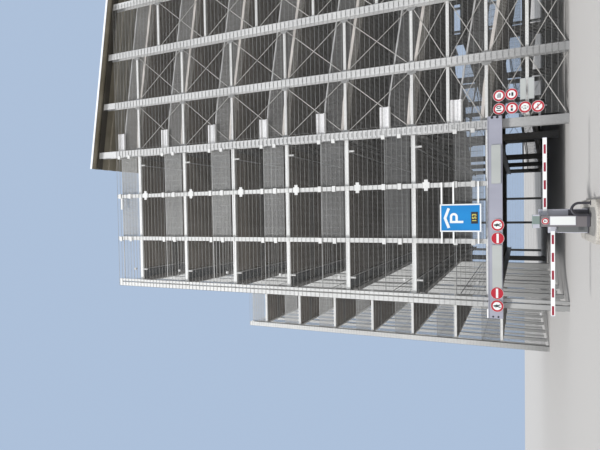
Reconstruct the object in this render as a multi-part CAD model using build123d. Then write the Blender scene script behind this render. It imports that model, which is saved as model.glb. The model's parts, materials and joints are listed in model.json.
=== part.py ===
from build123d import *
import math
import os

# Multi storey car park of the split level kind, in millimetres, +Z up.
# X runs along the entrance front, Y runs into the building, Z = 0 is the ground.
# The left half of the decks stands half a storey above the right half.
# The split line between the halves is X = 0, and the two halves mirror each other in plan.

# Storeys
storey = 2790
deck_count = 7
slab_thickness = 110
joist_depth = 110
joist_pitch = 3600
joist_root = 460
joist_tip = 220

# Plan
stall_bay = 2520
aisle_width = 6670
entrance_post_1 = 2310
entrance_post_2 = 4480
side_bay = 2700
side_bays = 5
ramp_side_bays = 2
rear_bay = 2520
rear_bays = 5
ramp_rear_bays = 2
aisle_rear_post = 2330

# Steelwork
column_depth = 300
column_width = 300
column_flange = 24
column_web = 16
ramp_head_column_width = 320
post_size = 180
corner_side_post = 110
corner_post_gap = 60
beam_height = 300
beam_width = 160
beam_flange = 20
beam_web = 12
edge_beam_height = 160
edge_beam_depth = 100
edge_beam_drop = 20
edge_beam_sheet = 14
edge_beam_gap = 20
tie_height = 110
tie_depth = 70

# Heights above a deck
post_rise = 1250
guard_height = 1080
guard_thickness = 8
mesh_rise = 1250

# Ramps
ramp_thickness = 180
ramp_transition = 1500
ramp_edge_height = 190
ramp_edge_width = 90
ramp_rail_height = 950
ramp_rail_size = 60

# Guard rails at the head of each front ramp
head_rail_length = 900
head_rail_height = 450
head_rail_bottom = 800
head_rail_wave = 80
head_rail_thickness = 12
head_rail_y = 120
head_rail_profile = [(0, 0), (0.35, 1), (0.8, 1), (1.2, 0), (2.8, 0), (3.2, 1), (3.65, 1), (4, 0)]

# Roof over the front ramps
roof_head_clearance = 2450
roof_slope = 0.164
roof_end_overhang = 700
roof_front_overhang = 350
roof_rib_depth = 60
roof_rib_pitch = 600
roof_trough_share = 0.4
roof_flank_share = 0.1
roof_sheet = 12
roof_purlin = 100
roof_column_gap = 0.3
fascia_height = 115
fascia_thickness = 20

# Bracing
brace_width = 60
brace_thickness = 12
brace_gap = 0.3

# Wire mesh
mesh_gap = 0.3
mesh_wire = 12
mesh_bottom = 150
mesh_row = storey
mesh_column = 3600

# Gateway at the entrance
portal_top = 2680
portal_height = 500
portal_depth = 240
portal_left_reach = 520
portal_right_reach = 240
portal_flange = 20

# Parking sign board
board_width = 1060
board_height = 1500
board_bottom = 2920
board_thickness = 30
board_left = 2670
board_rail = 60
board_rail_shares = (0.05, 0.65, 0.94)

# Barrier group
barrier_distance = 6200
island_length = 3300
island_width = 1000
island_height = 120
island_front = 1500
island_offset = 3210
cabinet_width = 240
cabinet_depth = 300
left_cabinet_height = 850
right_cabinet_height = 1060
cabinet_bevel = 20
cabinet_spacing = 330
pillar_width = 260
pillar_depth = 200
pillar_height = 1050
pillar_head_width = 310
pillar_head_depth = 220
pillar_head_height = 160
pillar_gap = 10
hoop_width = 340
hoop_height = 420
hoop_tube = 60
hoop_corner = 130
hoop_offset = 280
hoop_distance = 310
boom_height = 90
boom_thickness = 50
left_boom_length = 2140
right_boom_length = 1850
left_boom_axis = 760
right_boom_axis = 930
boom_tail = 160
boom_side_gap = 6
pivot_radius = 30
pivot_clearance = 0.3
bore_reach = 1
hub_radius = 70

# Lines of the plan, taken from the sizes above
stall_depth = 2 * stall_bay
half_storey = storey / 2
ramp_line = -stall_depth
corner_line = ramp_line - aisle_width
wing_line = corner_line - stall_depth
half_column = column_depth / 2
deck_front = column_depth
void_front = ramp_side_bays * side_bay
wing_front = side_bays * side_bay
wing_deck = wing_front + column_depth
rear_face = wing_front + rear_bays * rear_bay
deck_rear = rear_face - column_depth
void_rear = rear_face - ramp_rear_bays * rear_bay
left_tops = [(n + 1) * storey for n in range(deck_count)]
right_tops = [top - half_storey for top in left_tops]
post_top = left_tops[-1] + post_rise
beam_drop = slab_thickness + joist_depth
island_front_y = -barrier_distance - island_front
mesh_inner = -mesh_gap
mesh_outer = mesh_inner - 2 * mesh_wire - mesh_gap
rear_mesh_outer = rear_face - mesh_outer
centre_y = (island_front_y + rear_mesh_outer) / 2

os.makedirs("parts", exist_ok=True)


def block(x_range, y_range, z_range):
    """A box between two corners, given as three ranges."""
    (x0, x1), (y0, y1), (z0, z1) = x_range, y_range, z_range
    size = (x1 - x0, y1 - y0, z1 - z0)
    return Pos((x0 + x1) / 2, (y0 + y1) / 2, (z0 + z1) / 2) * Box(*size)


def extruded(points, direction, length):
    """A closed outline of 3-D points, extruded along a direction."""
    return extrude(make_face(Polyline(*points, close=True)), amount=length, dir=direction)


def mirrored(solids):
    return [mirror(solid, about=Plane.YZ) for solid in solids]


def lowered(solids):
    return [Pos(0, 0, -half_storey) * solid for solid in solids]


def both_halves(solids):
    """The pieces of the left half, and the same pieces mirrored half a storey lower."""
    return solids + lowered(mirrored(solids))


def save(name, solids):
    """Writes one node, with the origin under the centre of the whole footprint."""
    placed = [Pos(0, -centre_y, 0) * solid for solid in solids]
    group = placed[0] if len(placed) == 1 else Compound(children=placed)
    export_step(group, f"parts/{name}.step")


def h_outline(width, depth, flange, web):
    """Half sizes of an H section: flanges across the width, web along the depth."""
    a, b = width / 2, depth / 2
    c, w = b - flange, web / 2
    return [(-a, -b), (a, -b), (a, -c), (w, -c), (w, c), (a, c),
            (a, b), (-a, b), (-a, c), (-w, c), (-w, -c), (-a, -c)]


def h_column(x, y_face, z_range, width=column_width):
    """An H column whose front flange faces -Y at y_face."""
    y = y_face + half_column
    outline = h_outline(width, column_depth, column_flange, column_web)
    points = [(x + a, y + b, z_range[0]) for a, b in outline]
    return extruded(points, (0, 0, 1), z_range[1] - z_range[0])


def post(x, y_face, z_range, size=post_size):
    """A square tube post, centred on x, with its front face at y_face."""
    return block((x - size / 2, x + size / 2), (y_face, y_face + size), z_range)


def i_beam(x, y_range, top):
    """A main beam that runs along Y."""
    outline = h_outline(beam_width, beam_height, beam_flange, beam_web)
    points = [(x + a, y_range[0], top - beam_height / 2 + b) for a, b in outline]
    return extruded(points, (0, 1, 0), y_range[1] - y_range[0])


# Decks, on folded steel joists that run along X
split_edge = -column_width / 2
inner_edge = corner_line + half_column
outer_edge = wing_line + half_column
inner_rear_column = wing_front + 2 * rear_bay


def column_hole(x, y_middle, top):
    y_range = (y_middle - half_column, y_middle + half_column)
    x_range = (x - column_width / 2, x + column_width / 2)
    return block(x_range, y_range, (top - slab_thickness, top))


def left_deck(top):
    """The left half of one level: aisle, stalls on both sides and the two ramp notches."""
    plan = [(inner_edge, deck_front), (ramp_line, deck_front),
            (ramp_line, void_front), (split_edge, void_front),
            (split_edge, void_rear), (ramp_line, void_rear),
            (ramp_line, deck_rear), (outer_edge, deck_rear),
            (outer_edge, wing_deck), (inner_edge, wing_deck)]
    deck = extruded([(x, y, top) for x, y in plan], (0, 0, -1), slab_thickness)
    deck -= column_hole(ramp_line, wing_front, top)
    deck -= column_hole(corner_line, inner_rear_column, top)
    return deck


def joists(x_range, y_range, top):
    """Folded joists at even steps over one rectangle of deck."""
    x = x_range[0]
    count = round((y_range[1] - y_range[0]) / joist_pitch)
    pitch = (y_range[1] - y_range[0]) / count
    root, tip = joist_root / 2, joist_tip / 2
    z1 = top - slab_thickness
    z0 = z1 - joist_depth
    pieces = []
    for i in range(count):
        y = y_range[0] + (i + 0.5) * pitch
        points = [(x, y - root, z1), (x, y - tip, z0), (x, y + tip, z0), (x, y + root, z1)]
        pieces.append(extruded(points, (1, 0, 0), x_range[1] - x_range[0]))
    return pieces


def left_joists(top):
    pieces = joists((inner_edge, ramp_line), (deck_front, void_front), top)
    pieces += joists((inner_edge, split_edge), (void_front, wing_deck), top)
    pieces += joists((outer_edge, split_edge), (wing_deck, void_rear), top)
    pieces += joists((outer_edge, ramp_line), (void_rear, deck_rear), top)
    return pieces


top_left_deck = left_deck(left_tops[-1])
for n in range(deck_count):
    drop = left_tops[-1] - left_tops[n]
    save(f"deck_level_{n + 1}", both_halves([Pos(0, 0, -drop) * top_left_deck]))
save("deck_joists", both_halves([joist for top in left_tops for joist in left_joists(top)]))


# Main beams under the decks, beside the columns of each line
def left_beams():
    lines = [corner_line + half_column + beam_width / 2,
             ramp_line - half_column - beam_width / 2]
    beams = []
    for top in left_tops:
        beams += [i_beam(x, (deck_front, deck_rear), top - beam_drop) for x in lines]
        split = -half_column - beam_width / 2
        beams.append(i_beam(split, (void_front, void_rear), top - beam_drop))
    return beams


save("main_beams", both_halves(left_beams()))


# Columns and posts
def roof_under(x):
    """Height of the underside of the roof purlins at x."""
    head = left_tops[-1] + roof_head_clearance
    return head - roof_slope * (x - ramp_line)


def under_roof(columns):
    """Columns cut off along the slope, just below the roof beams."""
    x0, x1 = 2 * ramp_line, -2 * ramp_line
    y0 = -roof_front_overhang
    z0, z1 = roof_under(x0) - roof_column_gap, roof_under(x1) - roof_column_gap
    points = [(x0, y0, 0), (x0, y0, z0), (x1, y0, z1), (x1, y0, 0)]
    space = extruded(points, (0, 1, 0), void_front + roof_front_overhang)
    return [column & space for column in columns]


front_posts = [corner_line + entrance_post_1, corner_line + entrance_post_2]


def corner_columns(base_top):
    """A square corner post with a thinner side post, joined by a cap plate."""
    main_left = corner_line - half_column
    side_left = main_left + post_size + corner_post_gap
    z_range = (0, base_top)
    main = block((main_left, main_left + post_size), (0, post_size), z_range)
    side_range = (side_left, side_left + corner_side_post)
    side = block(side_range, (0, corner_side_post), z_range)
    cap_range = (main_left, side_range[1])
    cap = block(cap_range, (0, corner_side_post), (base_top - post_size, base_top))
    return [main + side + cap]


right_post_top = post_top - half_storey
save("front_corner_posts", corner_columns(post_top) + mirrored(corner_columns(right_post_top)))
entrance_posts = [post(x, 0, (portal_top, post_top)) for x in front_posts]
right_front_posts = [post(-x, 0, (0, right_post_top)) for x in front_posts]
save("front_posts", entrance_posts + right_front_posts)


def ramp_columns():
    """The front columns of the ramps: one at each end and one between each two bays."""
    columns = []
    for i in range(-2, 3):
        width = ramp_head_column_width if abs(i) == 2 else column_width
        columns.append(h_column(i * stall_bay, 0, (0, roof_under(ramp_line)), width))
    return under_roof(columns)


void_column_x = ramp_line + column_width / 2


def roof_rear_columns():
    z_range = (0, roof_under(ramp_line))
    y_face = void_front - column_depth
    return under_roof([h_column(x, y_face, z_range) for x in (void_column_x, 0, -void_column_x)])


save("front_ramp_columns", ramp_columns())


def side_posts():
    """Posts of the left side, which end at the corner column where the wing begins."""
    x_range = (corner_line - half_column, corner_line - half_column + post_size)
    posts = []
    for i in range(1, side_bays):
        middle = i * side_bay
        y_range = (middle - post_size / 2, middle + post_size / 2)
        posts.append(block(x_range, y_range, (0, post_top)))
    posts.append(h_column(corner_line, wing_front, (0, post_top)))
    return posts


def wing_posts():
    """Posts of the stall wing: its front, its outer side and its rear corner."""
    outer = wing_line - half_column
    posts = [h_column(wing_line, wing_front, (0, post_top))]
    posts.append(post(wing_line + stall_bay, wing_front, (0, post_top)))
    for i in range(1, rear_bays):
        middle = wing_front + i * rear_bay
        y_range = (middle - post_size / 2, middle + post_size / 2)
        posts.append(block((outer, outer + post_size), y_range, (0, post_top)))
    posts.append(h_column(wing_line, rear_face - column_depth, (0, post_top)))
    return posts


def shortened(posts):
    """The mirrored posts of the right half, which end half a storey lower."""
    lower_part = block((0, 2 * abs(wing_line)), (-storey, rear_face + storey),
                       (0, right_post_top))
    return [solid & lower_part for solid in mirrored(posts)]


all_side_posts = side_posts() + wing_posts()
save("side_posts", all_side_posts + shortened(all_side_posts))

rear_post_face = rear_face - post_size
rear_left_x = [wing_line + stall_bay, corner_line, corner_line + aisle_rear_post,
               ramp_line - aisle_rear_post]


def rear_posts():
    posts = []
    for x in rear_left_x:
        posts.append(post(x, rear_post_face, (0, post_top)))
        posts.append(post(-x, rear_post_face, (0, right_post_top)))
    for i in range(-2, 3):
        high = post_top if i <= 0 else right_post_top
        posts.append(h_column(i * stall_bay, deck_rear, (0, high)))
    return posts


save("rear_posts", rear_posts())


def inner_columns():
    """Columns inside the building, each up to the top of the highest deck it carries."""
    middle = wing_front - half_column
    rear = void_rear
    left, right = left_tops[-1], right_tops[-1]
    return [
        h_column(ramp_line, middle, (0, left)),
        h_column(0, middle, (0, left)),
        h_column(-ramp_line, middle, (0, right)),
        h_column(corner_line, inner_rear_column - half_column, (0, left)),
        h_column(-corner_line, inner_rear_column - half_column, (0, right)),
        h_column(void_column_x, rear, (0, left)),
        h_column(0, rear, (0, left)),
        h_column(-void_column_x, rear, (0, right)),
    ]


save("inner_columns", inner_columns() + roof_rear_columns())


# Edge channels round the decks, with their webs outside
def channel(web_face, inward, top):
    """Outline of an edge channel across its length: distance outwards to inwards, and height."""
    z1 = top - edge_beam_drop
    z0 = z1 - edge_beam_height
    t = edge_beam_sheet
    web = web_face + inward * t
    tip = web_face + inward * edge_beam_depth
    return [(web_face, z0), (tip, z0), (tip, z0 + t), (web, z0 + t),
            (web, z1 - t), (tip, z1 - t), (tip, z1), (web_face, z1)]


def edge_x(x_range, web_face, inward, top):
    points = [(x_range[0], y, z) for y, z in channel(web_face, inward, top)]
    return extruded(points, (1, 0, 0), x_range[1] - x_range[0])


def edge_y(y_range, web_face, inward, top):
    points = [(x, y_range[0], z) for x, z in channel(web_face, inward, top)]
    return extruded(points, (0, 1, 0), y_range[1] - y_range[0])


ramp_column_left = ramp_line - ramp_head_column_width / 2
entrance_deck_left = corner_line - half_column + post_size + corner_post_gap + corner_side_post
side_web = corner_line - half_column + post_size
wing_web = wing_line - half_column + post_size
wing_side_edge = (wing_deck + edge_beam_gap, deck_rear - edge_beam_gap)
wing_front_edge = (wing_line + half_column, corner_line - half_column)
rear_edge = (wing_line + half_column, ramp_line - half_column)


def left_edges(top):
    """The edge channels of one level of the left half."""
    return [
        edge_x((entrance_deck_left, ramp_column_left), post_size, 1, top),
        edge_y((post_size, wing_front), side_web, 1, top),
        edge_x(wing_front_edge, wing_front + post_size, 1, top),
        edge_y(wing_side_edge, wing_web, 1, top),
        edge_x(rear_edge, rear_face - post_size, -1, top),
    ]


save("edge_channels", both_halves([edge for top in left_tops for edge in left_edges(top)]))


# Guard screens that stand on the edge channels
def guard_x(x_range, y_face, top):
    y_range = (y_face, y_face + guard_thickness)
    return block(x_range, y_range, (top - edge_beam_drop, top + guard_height))


def guard_y(y_range, x_face, top):
    x_range = (x_face, x_face + guard_thickness)
    return block(x_range, y_range, (top - edge_beam_drop, top + guard_height))


def left_guards(top):
    """The guard screens of one level of the left half."""
    return [
        guard_x((entrance_deck_left, ramp_column_left), post_size, top),
        guard_y((post_size, wing_front), side_web, top),
        guard_x(wing_front_edge, wing_front + post_size, top),
        guard_y(wing_side_edge, wing_web, top),
        guard_x(rear_edge, rear_face - post_size - guard_thickness, top),
    ]


# Ramps between the halves
def ramp_drop(x):
    """Fall of a front ramp at x, with half the slope in the end transitions."""
    run = x - ramp_line
    total = -2 * ramp_line
    slope = half_storey / (total - ramp_transition)
    if run <= ramp_transition:
        return run * slope / 2
    if run >= total - ramp_transition:
        return half_storey - (total - run) * slope / 2
    return (run - ramp_transition / 2) * slope


ramp_stations = [ramp_line, ramp_line + ramp_transition,
                 -ramp_line - ramp_transition, -ramp_line]


def ramp_strip(y_range, top, low, high):
    """A strip that follows the ramp, from low to high above its surface."""
    y = y_range[0]
    points = [(x, y, top - ramp_drop(x) + high) for x in ramp_stations]
    points += [(x, y, top - ramp_drop(x) + low) for x in reversed(ramp_stations)]
    return extruded(points, (0, 1, 0), y_range[1] - y_range[0])


front_lane = (deck_front, void_front - column_depth)
rear_lane = (void_rear + column_depth, deck_rear)


def ramps(lane, tops):
    return [ramp_strip(lane, top, -ramp_thickness, 0) for top in tops]


def ramp_sides(lane, tops, low, high, width):
    sides = []
    for top in tops:
        sides.append(ramp_strip((lane[0], lane[0] + width), top, low, high))
        sides.append(ramp_strip((lane[1] - width, lane[1]), top, low, high))
    return sides


ground_space = block((2 * wing_line, -2 * wing_line), (-storey, rear_face + storey),
                     (0, roof_under(ramp_line)))


def above_ground(solids):
    """The lowest rear ramp starts at the ground, so what would lie below it is cut off."""
    return [solids[0] & ground_space] + solids[1:]


rail_top = ramp_rail_height + ramp_rail_size
front_sides = ramp_sides(front_lane, left_tops, 0, ramp_edge_height, ramp_edge_width)
rear_sides = ramp_sides(rear_lane, right_tops, 0, ramp_edge_height, ramp_edge_width)
front_rails = ramp_sides(front_lane, left_tops, ramp_rail_height, rail_top, ramp_rail_size)
rear_rails = ramp_sides(rear_lane, right_tops, ramp_rail_height, rail_top, ramp_rail_size)
rear_ramps = above_ground(mirrored(ramps(rear_lane, right_tops)))
save("ramps", ramps(front_lane, left_tops) + rear_ramps)
save("ramp_edges", front_sides + mirrored(rear_sides))


def ramp_guards(y_face, tops):
    """Guard screens along the outer sides of the ramps, between their edges and their rails."""
    y_range = (y_face, y_face + guard_thickness)
    return [ramp_strip(y_range, top, ramp_edge_height, ramp_rail_height) for top in tops]


deck_guards = both_halves([guard for top in left_tops for guard in left_guards(top)])
front_guards = ramp_guards(front_lane[0], left_tops)
rear_guards = mirrored(ramp_guards(rear_lane[1] - guard_thickness, right_tops))
save("guard_panels", deck_guards + front_guards + rear_guards)
save("ramp_rails", front_rails + mirrored(rear_rails))


def head_rail(top):
    """A short guard rail with two waves, fixed to the web of the ramp's head column."""
    x = ramp_line + column_web / 2
    length = ramp_head_column_width / 2 - column_web / 2 + head_rail_length
    z = top + head_rail_bottom
    quarter = head_rail_height / 4
    wave = head_rail_wave - head_rail_thickness
    front = [(x, head_rail_y + (1 - a) * wave, z + q * quarter) for q, a in head_rail_profile]
    back = [(x, y + head_rail_thickness, height) for x, y, height in reversed(front)]
    return extruded(front + back, (1, 0, 0), length)


save("ramp_head_guard_rails", [head_rail(top) for top in left_tops])


# Tie beams and crossed rods between the ramp columns
def bay_faces(i):
    """Clear range between the columns of ramp bay i, counted from the left."""
    left = (i - 2) * stall_bay
    right = left + stall_bay
    left_half = (ramp_head_column_width if i == 0 else column_width) / 2
    right_half = (ramp_head_column_width if i == 3 else column_width) / 2
    return left + left_half, right - right_half


def tie_levels(i):
    """Heights of the tie beams in bay i: the levels of the half that the bay stands in."""
    tops = left_tops if i < 2 else right_tops
    extra = right_tops[:2] if i < 2 else left_tops[:1]
    return sorted(tops + extra)


def ties(y_range):
    beams = []
    for i in range(4):
        for z in tie_levels(i):
            beams.append(block(bay_faces(i), y_range, (z - tie_height, z)))
    return beams


front_tie_y = (deck_front - tie_depth, deck_front)
rear_tie_y = (deck_rear, deck_rear + tie_depth)
save("ramp_ties", ties(front_tie_y) + ties(rear_tie_y))


def rod(x_range, z_range, y, rising):
    """A flat rod across a panel, from one corner to the opposite one."""
    (x0, x1), (z0, z1) = x_range, z_range
    slope = math.atan2(z1 - z0, x1 - x0)
    nx, nz = math.sin(slope) * brace_width / 2, math.cos(slope) * brace_width / 2
    x0, x1, z0, z1 = x0 + nx, x1 - nx, z0 + nz, z1 - nz
    points = [(x0 - nx, y, z0 + nz), (x0 + nx, y, z0 - nz),
              (x1 + nx, y, z1 - nz), (x1 - nx, y, z1 + nz)]
    if not rising:
        points = [(x_range[0] + x_range[1] - x, y, z) for x, y, z in points]
    return extruded(points, (0, 1, 0), brace_thickness)


def braces(bays, y_first, y_second):
    """Two crossed rods in every panel between the ramp columns, one behind the other."""
    rods = []
    for i in bays:
        levels = [0] + tie_levels(i)
        for low, high in zip(levels[:-1], levels[1:]):
            z_range = (low, high - tie_height)
            rods.append(rod(bay_faces(i), z_range, y_first, True))
            rods.append(rod(bay_faces(i), z_range, y_second, False))
    return rods


front_rod_y = deck_front - brace_thickness
front_rods = braces(range(4), front_rod_y, front_rod_y - brace_thickness - brace_gap)
rear_rods = braces((1, 2), deck_rear, deck_rear + brace_thickness + brace_gap)
save("brace_rods", front_rods + rear_rods)


# Roof over the front ramps, parallel to them
def roof_profile():
    """Ribbed sheet: ribs run down the slope, along X."""
    y0 = -roof_front_overhang
    y1 = void_front + roof_front_overhang
    x0 = ramp_line - roof_end_overhang
    length = 2 * abs(x0)
    base = roof_under(x0) + roof_purlin
    count = round((y1 - y0) / roof_rib_pitch)
    pitch = (y1 - y0) / count
    trough = roof_trough_share * pitch
    flank = roof_flank_share * pitch
    lower = []
    for i in range(count):
        y = y0 + i * pitch
        lower += [(y, 0), (y + trough, 0), (y + trough + flank, roof_rib_depth),
                  (y + pitch - flank, roof_rib_depth)]
    lower.append((y1, 0))
    points = [(x0, y, base + z) for y, z in lower]
    points += [(x0, y, base + z + roof_sheet) for y, z in reversed(lower)]
    return extruded(points, (1, 0, -roof_slope), length * math.hypot(1, roof_slope))


def roof_purlins():
    """Sloping beams on the column heads, at the front and at the rear of the ramps."""
    x0 = ramp_line - roof_end_overhang
    length = 2 * abs(x0)
    beams = []
    for y0, y1 in ((0, column_depth), (void_front - column_depth, void_front)):
        z = roof_under(x0)
        points = [(x0, y0, z), (x0, y1, z), (x0, y1, z + roof_purlin), (x0, y0, z + roof_purlin)]
        beams.append(extruded(points, (1, 0, -roof_slope), length * math.hypot(1, roof_slope)))
    return beams


def roof_fascia():
    x0 = ramp_line - roof_end_overhang
    length = 2 * abs(x0)
    y1 = -roof_front_overhang
    y0 = y1 - fascia_thickness
    z1 = roof_under(x0) + roof_purlin + roof_rib_depth + roof_sheet
    z0 = z1 - fascia_height
    points = [(x0, y0, z0), (x0, y1, z0), (x0, y1, z1), (x0, y0, z1)]
    return extruded(points, (1, 0, -roof_slope), length * math.hypot(1, roof_slope))


save("ramp_roof_sheet", [roof_profile()])
save("ramp_roof_purlins", roof_purlins())
save("ramp_roof_fascia", [roof_fascia()])


# Wire mesh in front of the posts: line wires upright, cross wires behind them
def mesh_x(x_range, y_inner, outward, z_range):
    """A mesh panel along X. The cross wires lie against y_inner."""
    y_a = sorted((y_inner, y_inner + outward * mesh_wire))
    y_start = y_inner + outward * (mesh_wire + mesh_gap)
    y_b = sorted((y_start, y_start + outward * mesh_wire))
    return mesh_wires(x_range, z_range, lambda span, rise: block(span, y_a, rise),
                      lambda span, rise: block(span, y_b, rise))


def mesh_y(y_range, x_inner, outward, z_range):
    x_a = sorted((x_inner, x_inner + outward * mesh_wire))
    x_start = x_inner + outward * (mesh_wire + mesh_gap)
    x_b = sorted((x_start, x_start + outward * mesh_wire))
    return mesh_wires(y_range, z_range, lambda span, rise: block(x_a, span, rise),
                      lambda span, rise: block(x_b, span, rise))


def mesh_wires(span, rise, cross_wire, line_wire):
    """Cross wires and line wires at even steps over one panel."""
    wires = []
    rows = round((rise[1] - rise[0]) / mesh_row)
    columns = round((span[1] - span[0]) / mesh_column)
    for i in range(rows + 1):
        z = rise[0] + i * (rise[1] - rise[0] - mesh_wire) / rows
        wires.append(cross_wire(span, (z, z + mesh_wire)))
    for i in range(columns + 1):
        s = span[0] + i * (span[1] - span[0] - mesh_wire) / columns
        wires.append(line_wire((s, s + mesh_wire), rise))
    return wires


mesh_top = left_tops[-1] + mesh_rise
left_rise = (mesh_bottom, mesh_top)
right_rise = (mesh_bottom, mesh_top - half_storey)
corner_face = corner_line - half_column - mesh_gap
wing_face = wing_line - half_column - mesh_gap
gate_end = ramp_line + portal_right_reach
entrance_span = (corner_face, gate_end)
ramp_span = (gate_end + mesh_gap, stall_bay)
right_span = (stall_bay + mesh_gap, -corner_face)
side_span = (0, wing_front)
wing_side_span = (wing_front, rear_face)
wing_front_span = (wing_face, corner_face + mesh_outer - mesh_gap)
rear_left_span = (wing_face, half_column)
rear_right_span = (half_column + mesh_gap, -wing_face)
rear_inner = rear_face + mesh_gap
wing_inner = wing_front - mesh_gap
save("entrance_mesh", mesh_x(entrance_span, mesh_inner, -1, (portal_top + mesh_gap, mesh_top)))
save("front_ramp_mesh", mesh_x(ramp_span, mesh_inner, -1, left_rise))
save("right_front_mesh", mesh_x(right_span, mesh_inner, -1, right_rise))
save("left_side_mesh", mesh_y(side_span, corner_face, -1, left_rise))
save("left_wing_front_mesh", mesh_x(wing_front_span, wing_inner, -1, left_rise))
save("left_wing_side_mesh", mesh_y(wing_side_span, wing_face, -1, left_rise))
save("right_side_mesh", mirrored(mesh_y(side_span, corner_face, -1, right_rise)))
save("right_wing_front_mesh", mirrored(mesh_x(wing_front_span, wing_inner, -1, right_rise)))
save("right_wing_side_mesh", mirrored(mesh_y(wing_side_span, wing_face, -1, right_rise)))
left_rear_wires = mesh_x(rear_left_span, rear_inner, 1, left_rise)
save("rear_mesh", left_rear_wires + mesh_x(rear_right_span, rear_inner, 1, right_rise))


# Gateway beam across the entrance
def portal_beam():
    """Box beam with a thin top flange, in front of the columns."""
    x_range = (corner_line - portal_left_reach, ramp_line + portal_right_reach)
    y_range = (-mesh_gap - portal_depth, -mesh_gap)
    body = block(x_range, y_range, (portal_top - portal_height, portal_top - portal_flange))
    flange = block(x_range, (y_range[0] - portal_flange, y_range[1]),
                   (portal_top - portal_flange, portal_top))
    return body + flange


save("entrance_beam", [portal_beam()])


# Parking sign board on three rails between the entrance posts
def sign_board():
    x0 = corner_line + board_left
    y_face = mesh_outer - board_rail
    return block((x0, x0 + board_width), (y_face - board_thickness, y_face),
                 (board_bottom, board_bottom + board_height))


def sign_rails():
    rails = []
    x_range = (front_posts[0] - post_size / 2, front_posts[1] + post_size / 2)
    for share in board_rail_shares:
        z = board_bottom + share * board_height
        rails.append(block(x_range, (mesh_outer - board_rail, mesh_outer - mesh_gap),
                           (z, z + board_rail)))
    return rails


save("parking_sign_board", [sign_board()])
save("parking_sign_rails", sign_rails())


# Barrier group on its island
island_x = corner_line + island_offset
barrier_y = -barrier_distance
cabinet_front = barrier_y - cabinet_depth / 2
pin_length = boom_side_gap + boom_thickness + boom_side_gap


def island():
    """Kerbed island with round ends."""
    centre = (island_front_y + island_length / 2)
    plan = SlotOverall(island_length, island_width, rotation=90)
    return extrude(Pos(island_x, centre, 0) * plan, amount=island_height)


def cabinet(x, height, boom_z):
    """Barrier cabinet with a pivot pin that leaves its front face."""
    body = block((x - cabinet_width / 2, x + cabinet_width / 2),
                 (barrier_y - cabinet_depth / 2, barrier_y + cabinet_depth / 2),
                 (island_height, island_height + height))
    body = chamfer(body.edges().filter_by(Axis.Z), cabinet_bevel)
    pin = Pos(x, cabinet_front, island_height + boom_z) * Rot(90, 0, 0)
    pin = pin * Cylinder(pivot_radius, pin_length, align=(Align.CENTER, Align.CENTER, Align.MIN))
    return body + pin


left_cabinet_x = island_x - cabinet_spacing / 2
right_cabinet_x = island_x + cabinet_spacing / 2


def boom(x, boom_z, length, side):
    """A barrier boom, closed, with its hub round the pivot pin."""
    y1 = cabinet_front - boom_side_gap
    y0 = y1 - boom_thickness
    z = island_height + boom_z
    x0 = min(x - side * boom_tail, x + side * length)
    x1 = max(x - side * boom_tail, x + side * length)
    arm = block((x0, x1), (y0, y1), (z - boom_height / 2, z + boom_height / 2))
    hub = Pos(x, y1, z) * Rot(90, 0, 0)
    hub = hub * Cylinder(hub_radius, boom_thickness, align=(Align.CENTER, Align.CENTER, Align.MIN))
    bore = Pos(x, y1 + bore_reach, z) * Rot(90, 0, 0)
    bore = bore * Cylinder(pivot_radius + pivot_clearance, boom_thickness + 2 * bore_reach,
                           align=(Align.CENTER, Align.CENTER, Align.MIN))
    return arm + hub - bore


def pillar():
    """Ticket pillar in front of the booms, with a wider head on top."""
    back = cabinet_front - pin_length - pillar_gap
    z1 = island_height + pillar_height
    body = block((island_x - pillar_width / 2, island_x + pillar_width / 2),
                 (back - pillar_depth, back), (island_height, z1))
    head = block((island_x - pillar_head_width / 2, island_x + pillar_head_width / 2),
                 (back - pillar_head_depth, back), (z1, z1 + pillar_head_height))
    return body + head


def hoop():
    """Square tube hoop with mitred corners, beside the foot of the ticket pillar."""
    outer = hoop_width / 2
    inner = outer - hoop_tube
    y = cabinet_front - hoop_distance
    mitre = hoop_tube * math.tan(math.pi / 8)
    half = [(outer, 0), (outer, hoop_height - hoop_corner), (outer - hoop_corner, hoop_height)]
    hollow = [(inner, 0), (inner, hoop_height - hoop_corner - mitre),
              (outer - hoop_corner - mitre, hoop_height - hoop_tube)]
    outline = half + [(-x, z) for x, z in reversed(half)]
    outline += [(-x, z) for x, z in hollow] + [(x, z) for x, z in reversed(hollow)]
    points = [(island_x + hoop_offset + x, y, island_height + z) for x, z in outline]
    return extruded(points, (0, -1, 0), hoop_tube)


save("barrier_island", [island()])
save("barrier_cabinets", [cabinet(left_cabinet_x, left_cabinet_height, left_boom_axis),
                          cabinet(right_cabinet_x, right_cabinet_height, right_boom_axis)])
save("ticket_pillar", [pillar()])
save("guard_hoop", [hoop()])
save("left_boom", [boom(left_cabinet_x, left_boom_axis, left_boom_length, -1)])
save("right_boom", [boom(right_cabinet_x, right_boom_axis, right_boom_length, 1)])
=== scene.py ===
import math
import json
import bpy
import bmesh
from mathutils import Matrix, Vector


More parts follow.
